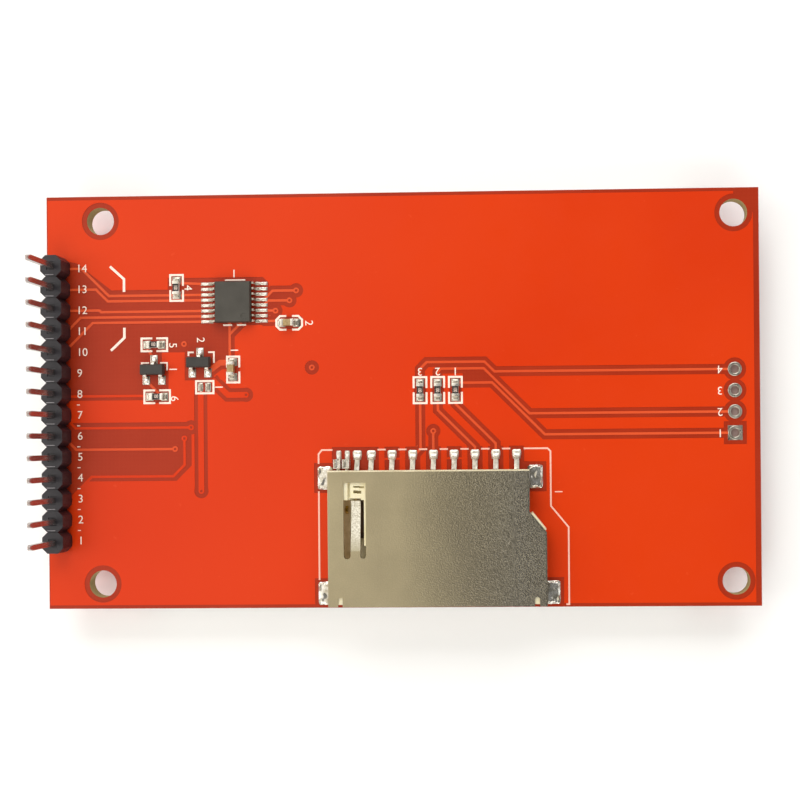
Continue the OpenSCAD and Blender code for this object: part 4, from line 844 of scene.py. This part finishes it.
def dressChipPart(node, pieceName, top, side):
    low, high = cornersInMm(node)
    middle, half = (low + high) / 2, (high - low) / 2
    axis = 0 if half.x > half.y else 1
    piece = softenedCopy(pieceName, (node,), side, smallParts["edgeMm"])
    metalFrom = half[axis] - smallParts["capEnd"]
    paintFaces(piece, top, lambda centre, normal:
               normal.z > smallParts["topFrom"] and abs(centre[axis] - middle[axis]) <= metalFrom)
    paintFaces(piece, "solder", lambda centre, normal:
               abs(centre[axis] - middle[axis]) > metalFrom - smallParts["slack"])


def dressLegged(node, pieceName):
    low, high = cornersInMm(node)
    middle = (low + high) / 2
    piece = softenedCopy(pieceName, (node,), "small", smallParts["edgeMm"])
    paintFaces(piece, "solder", lambda centre, normal: abs(centre.y - middle.y) > smallParts["legFrom"])


for i in range(counts["resistors"]):
    dressChipPart(f"resistor_{i + 1}", f"chipResistor{i + 1}", "glaze", "alumina")
for i in range(counts["capacitors"]):
    dressChipPart(f"capacitor_{i + 1}", f"chipCapacitor{i + 1}", "titanate", "titanate")
dressLegged("transistor", "threeLeggedSwitch")
dressLegged("regulator", "threeLeggedRegulator")
print("small parts dressed")


# solder: each joint is a mound that wetted its pad and froze

# rises and topShoulder are shares of a mound's height and shoulder, the From and Above values of its length and height;
# spread makes up for the smoothing, which draws the outline in
mound = {"slab": 0.03, "spread": (1.1, 1.08), "rises": (0.75, 0.25), "topShoulder": 0.7, "waistFrom": -0.2,
         "leanFrom": -0.05, "leanAbove": 0.5, "lumpsAbove": 0.3, "lumpSeed": 7}


def modelMound(width, length, height, shoulder, waist=1.0, lumps=0.0, lean=0.0, cuts=1):
    # a slab whose top is inset and raised, then narrowed and raised towards -Y, roughened and smoothed
    bpy.ops.mesh.primitive_cube_add(size=mm, location=(0, 0, mound["slab"] / 2 * mm))
    piece = bpy.context.object
    piece.scale = (width * mound["spread"][0], length * mound["spread"][1], mound["slab"])
    bpy.ops.object.transform_apply(location=True, scale=True)
    pick(piece, "faces", lambda face: face.normal.z > facingUp)
    bpy.ops.mesh.inset(thickness=shoulder * mm, depth=height * mm * mound["rises"][0])
    bpy.ops.mesh.inset(thickness=shoulder * mm * mound["topShoulder"], depth=height * mm * mound["rises"][1])
    bpy.ops.mesh.select_all(action="SELECT")
    bpy.ops.mesh.subdivide(number_cuts=cuts)
    pick(piece, "points", lambda point: point.co.y < mound["waistFrom"] * length * mm)
    bpy.ops.transform.resize(value=(waist, 1, 1), center_override=(0, 0, 0))
    if lean:
        pick(piece, "points", lambda point:
             point.co.z > mound["leanAbove"] * height * mm and point.co.y < mound["leanFrom"] * length * mm)
        bpy.ops.transform.translate(value=(0, 0, lean * mm))
    if lumps:
        pick(piece, "points", lambda point: point.co.z > mound["lumpsAbove"] * height * mm)
        bpy.ops.transform.vertex_random(offset=lumps * mm, seed=mound["lumpSeed"])
    bpy.ops.object.mode_set(mode="OBJECT")
    applyModifier(piece, "SUBSURF", levels=2, render_levels=2)
    makeActive(piece)
    bpy.ops.object.shade_smooth()
    return piece


def laySolder(name, look, places, shape, replaced=()):
    finishPiece(copyTo(modelMound(**shape), places), name, look, replaced)


padZ = padFace / mm
moundZ = padZ - 0.02            # a mound's foot lies a little in its pad

# reach is how far the solder runs past a tail, springIn how far the springs' tails lie in from their box
tails = {"reach": 0.2, "springIn": 0.17,
         "contact": {"width": 0.98, "length": 1.1, "height": 0.14, "shoulder": 0.14, "waist": 0.64, "lumps": 0.012,
                     "lean": 0.14, "cuts": 2},
         "spring": {"width": 0.56, "length": 1.1, "height": 0.14, "shoulder": 0.1, "waist": 0.8, "lumps": 0.01,
                    "lean": 0.12, "cuts": 2}}
tailMiddle = tails["reach"] - tails["contact"]["length"] / 2
tailPlaces = []
for name in contactNames:
    middle, high = inMm(name)
    tailPlaces.append((middle.x, high.y + tailMiddle, moundZ, 0))
laySolder("tailSolder", "tailTin", tailPlaces, tails["contact"], ("solder_joints",))

springLow, springHigh = cornersInMm("sd_switch_springs")
switchPlaces = [(x, springHigh.y + tailMiddle, moundZ, 0)
                for x in (springLow.x + tails["springIn"], springHigh.x - tails["springIn"])]
laySolder("switchTailSolder", "tailTin", switchPlaces, tails["spring"])

# the shell's tabs lie under a thick, streaky coat
tab = {"in": 0.75, "inY": 1.25, "step": 2.0,
       "mound": {"width": 1.6, "length": 2.6, "height": 0.26, "shoulder": 0.16, "lumps": 0.15, "cuts": 3}}
left, right = shellLow.x / mm + tab["in"], shellHigh.x / mm - tab["in"]
back, front = shellHigh.y / mm - tab["inY"], shellLow.y / mm + tab["inY"]
tabPlaces = [(left, back, padZ, 0), (left, front, padZ, 0), (right - tab["step"], back, padZ, 180),
             (right, front, padZ, 180)]
laySolder("tabSolder", "thickSolder", tabPlaces, tab["mound"])

# chip feet
foot = {"pitch": 0.65, "rows": 8, "out": 3.5,
        "mound": {"width": 0.4, "length": 0.95, "height": 0.13, "shoulder": 0.08, "waist": 0.8, "lumps": 0.01,
                  "lean": 0.06}}
chipMiddle = inMm("touch_chip")[0]
footPlaces = [(chipMiddle.x + side * foot["out"], chipMiddle.y + (row - (foot["rows"] - 1) / 2) * foot["pitch"],
               moundZ, -90 * side)
              for side in (-1, 1) for row in range(foot["rows"])]
laySolder("chipFootSolder", "solder", footPlaces, foot["mound"])

# fillets at the ends of the chip parts
fillet = {"out": 0.2, "mound": {"width": 0.74, "length": 0.5, "height": 0.07, "shoulder": 0.12, "waist": 0.9,
                                "lumps": 0.02}}
chipParts = ([f"resistor_{i + 1}" for i in range(counts["resistors"])]
             + [f"capacitor_{i + 1}" for i in range(counts["capacitors"])])
endPlaces = []
for name in chipParts:
    low, high = cornersInMm(name)
    middle, half = (low + high) / 2, (high - low) / 2
    for side in (-1, 1):
        if half.x > half.y:
            endPlaces.append((middle.x + side * (half.x + fillet["out"]), middle.y, moundZ, -90 * side))
        else:
            endPlaces.append((middle.x, middle.y + side * (half.y + fillet["out"]), moundZ, 0 if side > 0 else 180))
laySolder("chipPartSolder", "tin", endPlaces, fillet["mound"])

# solder on the feet of the three-legged parts: each foot has its x and its side
leg = {"feet": ((0, 1), (-0.95, -1), (0.95, -1)), "out": 1.32,
       "mound": {"width": 0.72, "length": 0.85, "height": 0.14, "shoulder": 0.15, "waist": 0.8, "lumps": 0.015,
                 "lean": 0.14}}
legPlaces = []
for name in ("transistor", "regulator"):
    low, high = cornersInMm(name)
    middle = (low + high) / 2
    for x, side in leg["feet"]:
        legPlaces.append((middle.x + x, middle.y + side * leg["out"], moundZ, 0 if side > 0 else 180))
laySolder("legSolder", "solder", legPlaces, leg["mound"])

# the open jumper's two pads carry a thin rough coat
jumper = {"fromHeader": 17.62, "y": 1.75, "pads": ((-0.52, 0), (0.42, 180)),        # each pad's x and turn
          "mound": {"width": 0.62, "length": 1.02, "height": 0.07, "shoulder": 0.1, "lumps": 0.03}}
jumperX = headerX / mm + jumper["fromHeader"]
jumperPlaces = [(jumperX + x, jumper["y"], moundZ, turn) for x, turn in jumper["pads"]]
laySolder("jumperSolder", "tin", jumperPlaces, jumper["mound"])
print("solder on the component side done")

# under the board each pin stands in a concave cone of solder; rings are a depth and the radius there
cone = {"foot": 0.8, "top": 0.42, "height": 1.0, "rings": ((0.3, 0.56), (0.62, 0.44)), "sides": 28,
        "edge": 0.05, "edgeDegrees": 50, "slack": 0.002, "sunk": 0.01}


def modelCone():
    bpy.ops.mesh.primitive_cone_add(vertices=cone["sides"], radius1=cone["foot"] * mm, radius2=cone["top"] * mm,
                                    depth=cone["height"] * mm, location=(0, 0, -cone["height"] * mm / 2),
                                    rotation=(math.pi, 0, 0))
    piece = bpy.context.object
    bpy.ops.object.transform_apply(location=True, rotation=True, scale=True)
    for depth, radius in cone["rings"]:
        editAll(piece)
        bpy.ops.mesh.bisect(plane_co=(0, 0, -depth * mm), plane_no=(0, 0, 1))
        pick(piece, "points", lambda point: abs(point.co.z + depth * mm) < cone["slack"] * mm)
        now = cone["foot"] + (cone["top"] - cone["foot"]) * depth / cone["height"]
        bpy.ops.transform.resize(value=(radius / now, radius / now, 1), center_override=(0, 0, 0))
    bpy.ops.object.mode_set(mode="OBJECT")
    breakEdges(piece, cone["edge"], cone["edgeDegrees"])
    makeActive(piece)
    bpy.ops.object.shade_smooth_by_angle(angle=math.radians(cone["edgeDegrees"]))
    return piece


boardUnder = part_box("tinned_pads")[0].z / mm
pinPlaces = [(inMm(name)[0].x, inMm(name)[0].y, boardUnder + cone["sunk"], 0) for name in pinNames]
finishPiece(copyTo(modelCone(), pinPlaces), "pinSolder", "solder", ("solder_joints",))

# the tin on a drilled pad is drawn up into a low round collar
collar = {"radius": 0.68, "thick": 0.17, "flat": 0.35, "cutAt": -0.01, "segments": (48, 12),
          "x": 40.0, "pitch": 2.54, "shift": -0.5}
bpy.ops.mesh.primitive_torus_add(major_radius=collar["radius"] * mm, minor_radius=collar["thick"] * mm,
                                 major_segments=collar["segments"][0], minor_segments=collar["segments"][1])
ring = bpy.context.object
editAll(ring)
bpy.ops.transform.resize(value=(1, 1, collar["flat"]), center_override=(0, 0, 0))
bpy.ops.mesh.bisect(plane_co=(0, 0, collar["cutAt"] * mm), plane_no=(0, 0, 1), clear_inner=True)
bpy.ops.object.mode_set(mode="OBJECT")
bpy.ops.object.shade_smooth()
firstPad = (counts["cardPads"] - 1) / 2
collarPlaces = [(collar["x"], collar["shift"] + (firstPad - i) * collar["pitch"], padZ, 0)
                for i in range(counts["cardPads"])]
finishPiece(copyTo(ring, collarPlaces), "padCollars", "tin")

# deep in each drilled hole lies a mauve-grey disc: painted shade
holeShade = {"share": 0.8, "thick": 0.1, "down": 0.45, "sides": 32, "edge": 0.02, "edgeDegrees": 50}
bpy.ops.mesh.primitive_cylinder_add(vertices=holeShade["sides"], radius=collar["radius"] * mm * holeShade["share"],
                                    depth=holeShade["thick"] * mm)
disc = bpy.context.object
breakEdges(disc, holeShade["edge"], holeShade["edgeDegrees"])
shadeDiscPlaces = [(x, y, z - holeShade["down"], turn) for x, y, z, turn in collarPlaces]
finishPiece(copyTo(disc, shadeDiscPlaces), "holeShadeDiscs", "shaded")
print("pin solder and pad collars done")

# folded wings of the two switch springs, which stand up behind the shell
wing = {"width": 0.84, "length": 1.1, "height": 1.2, "sheet": 0.12, "edge": 0.03, "edgeDegrees": 40,
        "places": ((-7.62, -7.66), (-6.56, -7.66))}
bpy.ops.mesh.primitive_cube_add(size=mm, location=(0, 0, wing["height"] * mm / 2))
channel = bpy.context.object
channel.scale = (wing["width"], wing["length"], wing["height"])
bpy.ops.object.transform_apply(location=True, scale=True)
pick(channel, "faces", lambda face: face.normal.z > facingUp or face.normal.y > facingUp)
bpy.ops.mesh.delete(type="FACE")
bpy.ops.object.mode_set(mode="OBJECT")
applyModifier(channel, "SOLIDIFY", thickness=wing["sheet"] * mm, offset=-1)
breakEdges(channel, wing["edge"], wing["edgeDegrees"])
bpy.ops.object.shade_smooth_by_angle(angle=math.radians(wing["edgeDegrees"]))
finishPiece(copyTo(channel, [(x, y, padZ, 0) for x, y in wing["places"]]), "switchWings", "solder")


# plain numbers: pins, card pads and parts in printed ink, and a value on each resistor

numbers = {
    "cap": 0.95, "capShare": 0.7, "thick": 0.02, "headerIn": 2.0, "cardOut": 1.45,
    "parts": (("4", -25.74, 13.79, -90), ("5", -27.67, 6.85, -90), ("6", -27.51, 0.4, -90), ("1", -27.66, 3.95, -90),
              ("1", -20.11, 15.51, 180), ("2", -24.28, 7.47, -90), ("1", -20.19, 6.18, -90), ("2", -11.09, 9.38, -90),
              ("1", -22.1, 1.74, -90), ("1", 18.82, -11.2, -90),
              ("3", 2.32, 3.4, 180), ("2", 4.45, 3.4, 180), ("1", 6.58, 3.4, 180)),      # text, x, y and turn
    "valueCap": 0.42, "value": "100", "valueSqueeze": 0.62,
}


def printNumber(text, x, y, z, turn, cap, align, squeeze=1.0):
    bpy.ops.object.text_add(location=(x * mm, y * mm, z * mm), rotation=(0, 0, math.radians(turn)))
    number = bpy.context.object
    number.data.body = text
    number.data.size = cap / numbers["capShare"] * mm
    number.data.extrude = numbers["thick"] / 2 * mm
    number.data.align_x = align
    number.data.align_y = "CENTER"
    number.scale.x = squeeze
    makeActive(number)
    bpy.ops.object.convert(target="MESH")
    bpy.ops.object.transform_apply(location=True, rotation=True, scale=True)
    return number


inkZ = maskFace / mm + numbers["thick"] / 2
printed = []
for i, name in enumerate(pinNames):
    printed.append(printNumber(str(counts["pins"] - i), headerX / mm + numbers["headerIn"], inMm(name)[0].y, inkZ, 0,
                               numbers["cap"], "LEFT"))
for i, (x, y, z, turn) in enumerate(collarPlaces):
    printed.append(printNumber(str(counts["cardPads"] - i), x - numbers["cardOut"], y, inkZ, 180,
                               numbers["cap"], "LEFT"))
for text, x, y, turn in numbers["parts"]:
    printed.append(printNumber(text, x, y, inkZ, turn, numbers["cap"], "CENTER"))
finishPiece(joinAll(printed), "printedNumbers", "ink")

values = []
for i in range(counts["resistors"]):
    middle, high = inMm(f"resistor_{i + 1}")
    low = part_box(f"resistor_{i + 1}")[0] / mm
    turn = 0 if high.x - low.x > high.y - low.y else -90
    values.append(printNumber(numbers["value"], middle.x, middle.y, high.z, turn, numbers["valueCap"], "CENTER",
                              numbers["valueSqueeze"]))
finishPiece(joinAll(values), "resistorValues", "ink")
print("numbers printed")
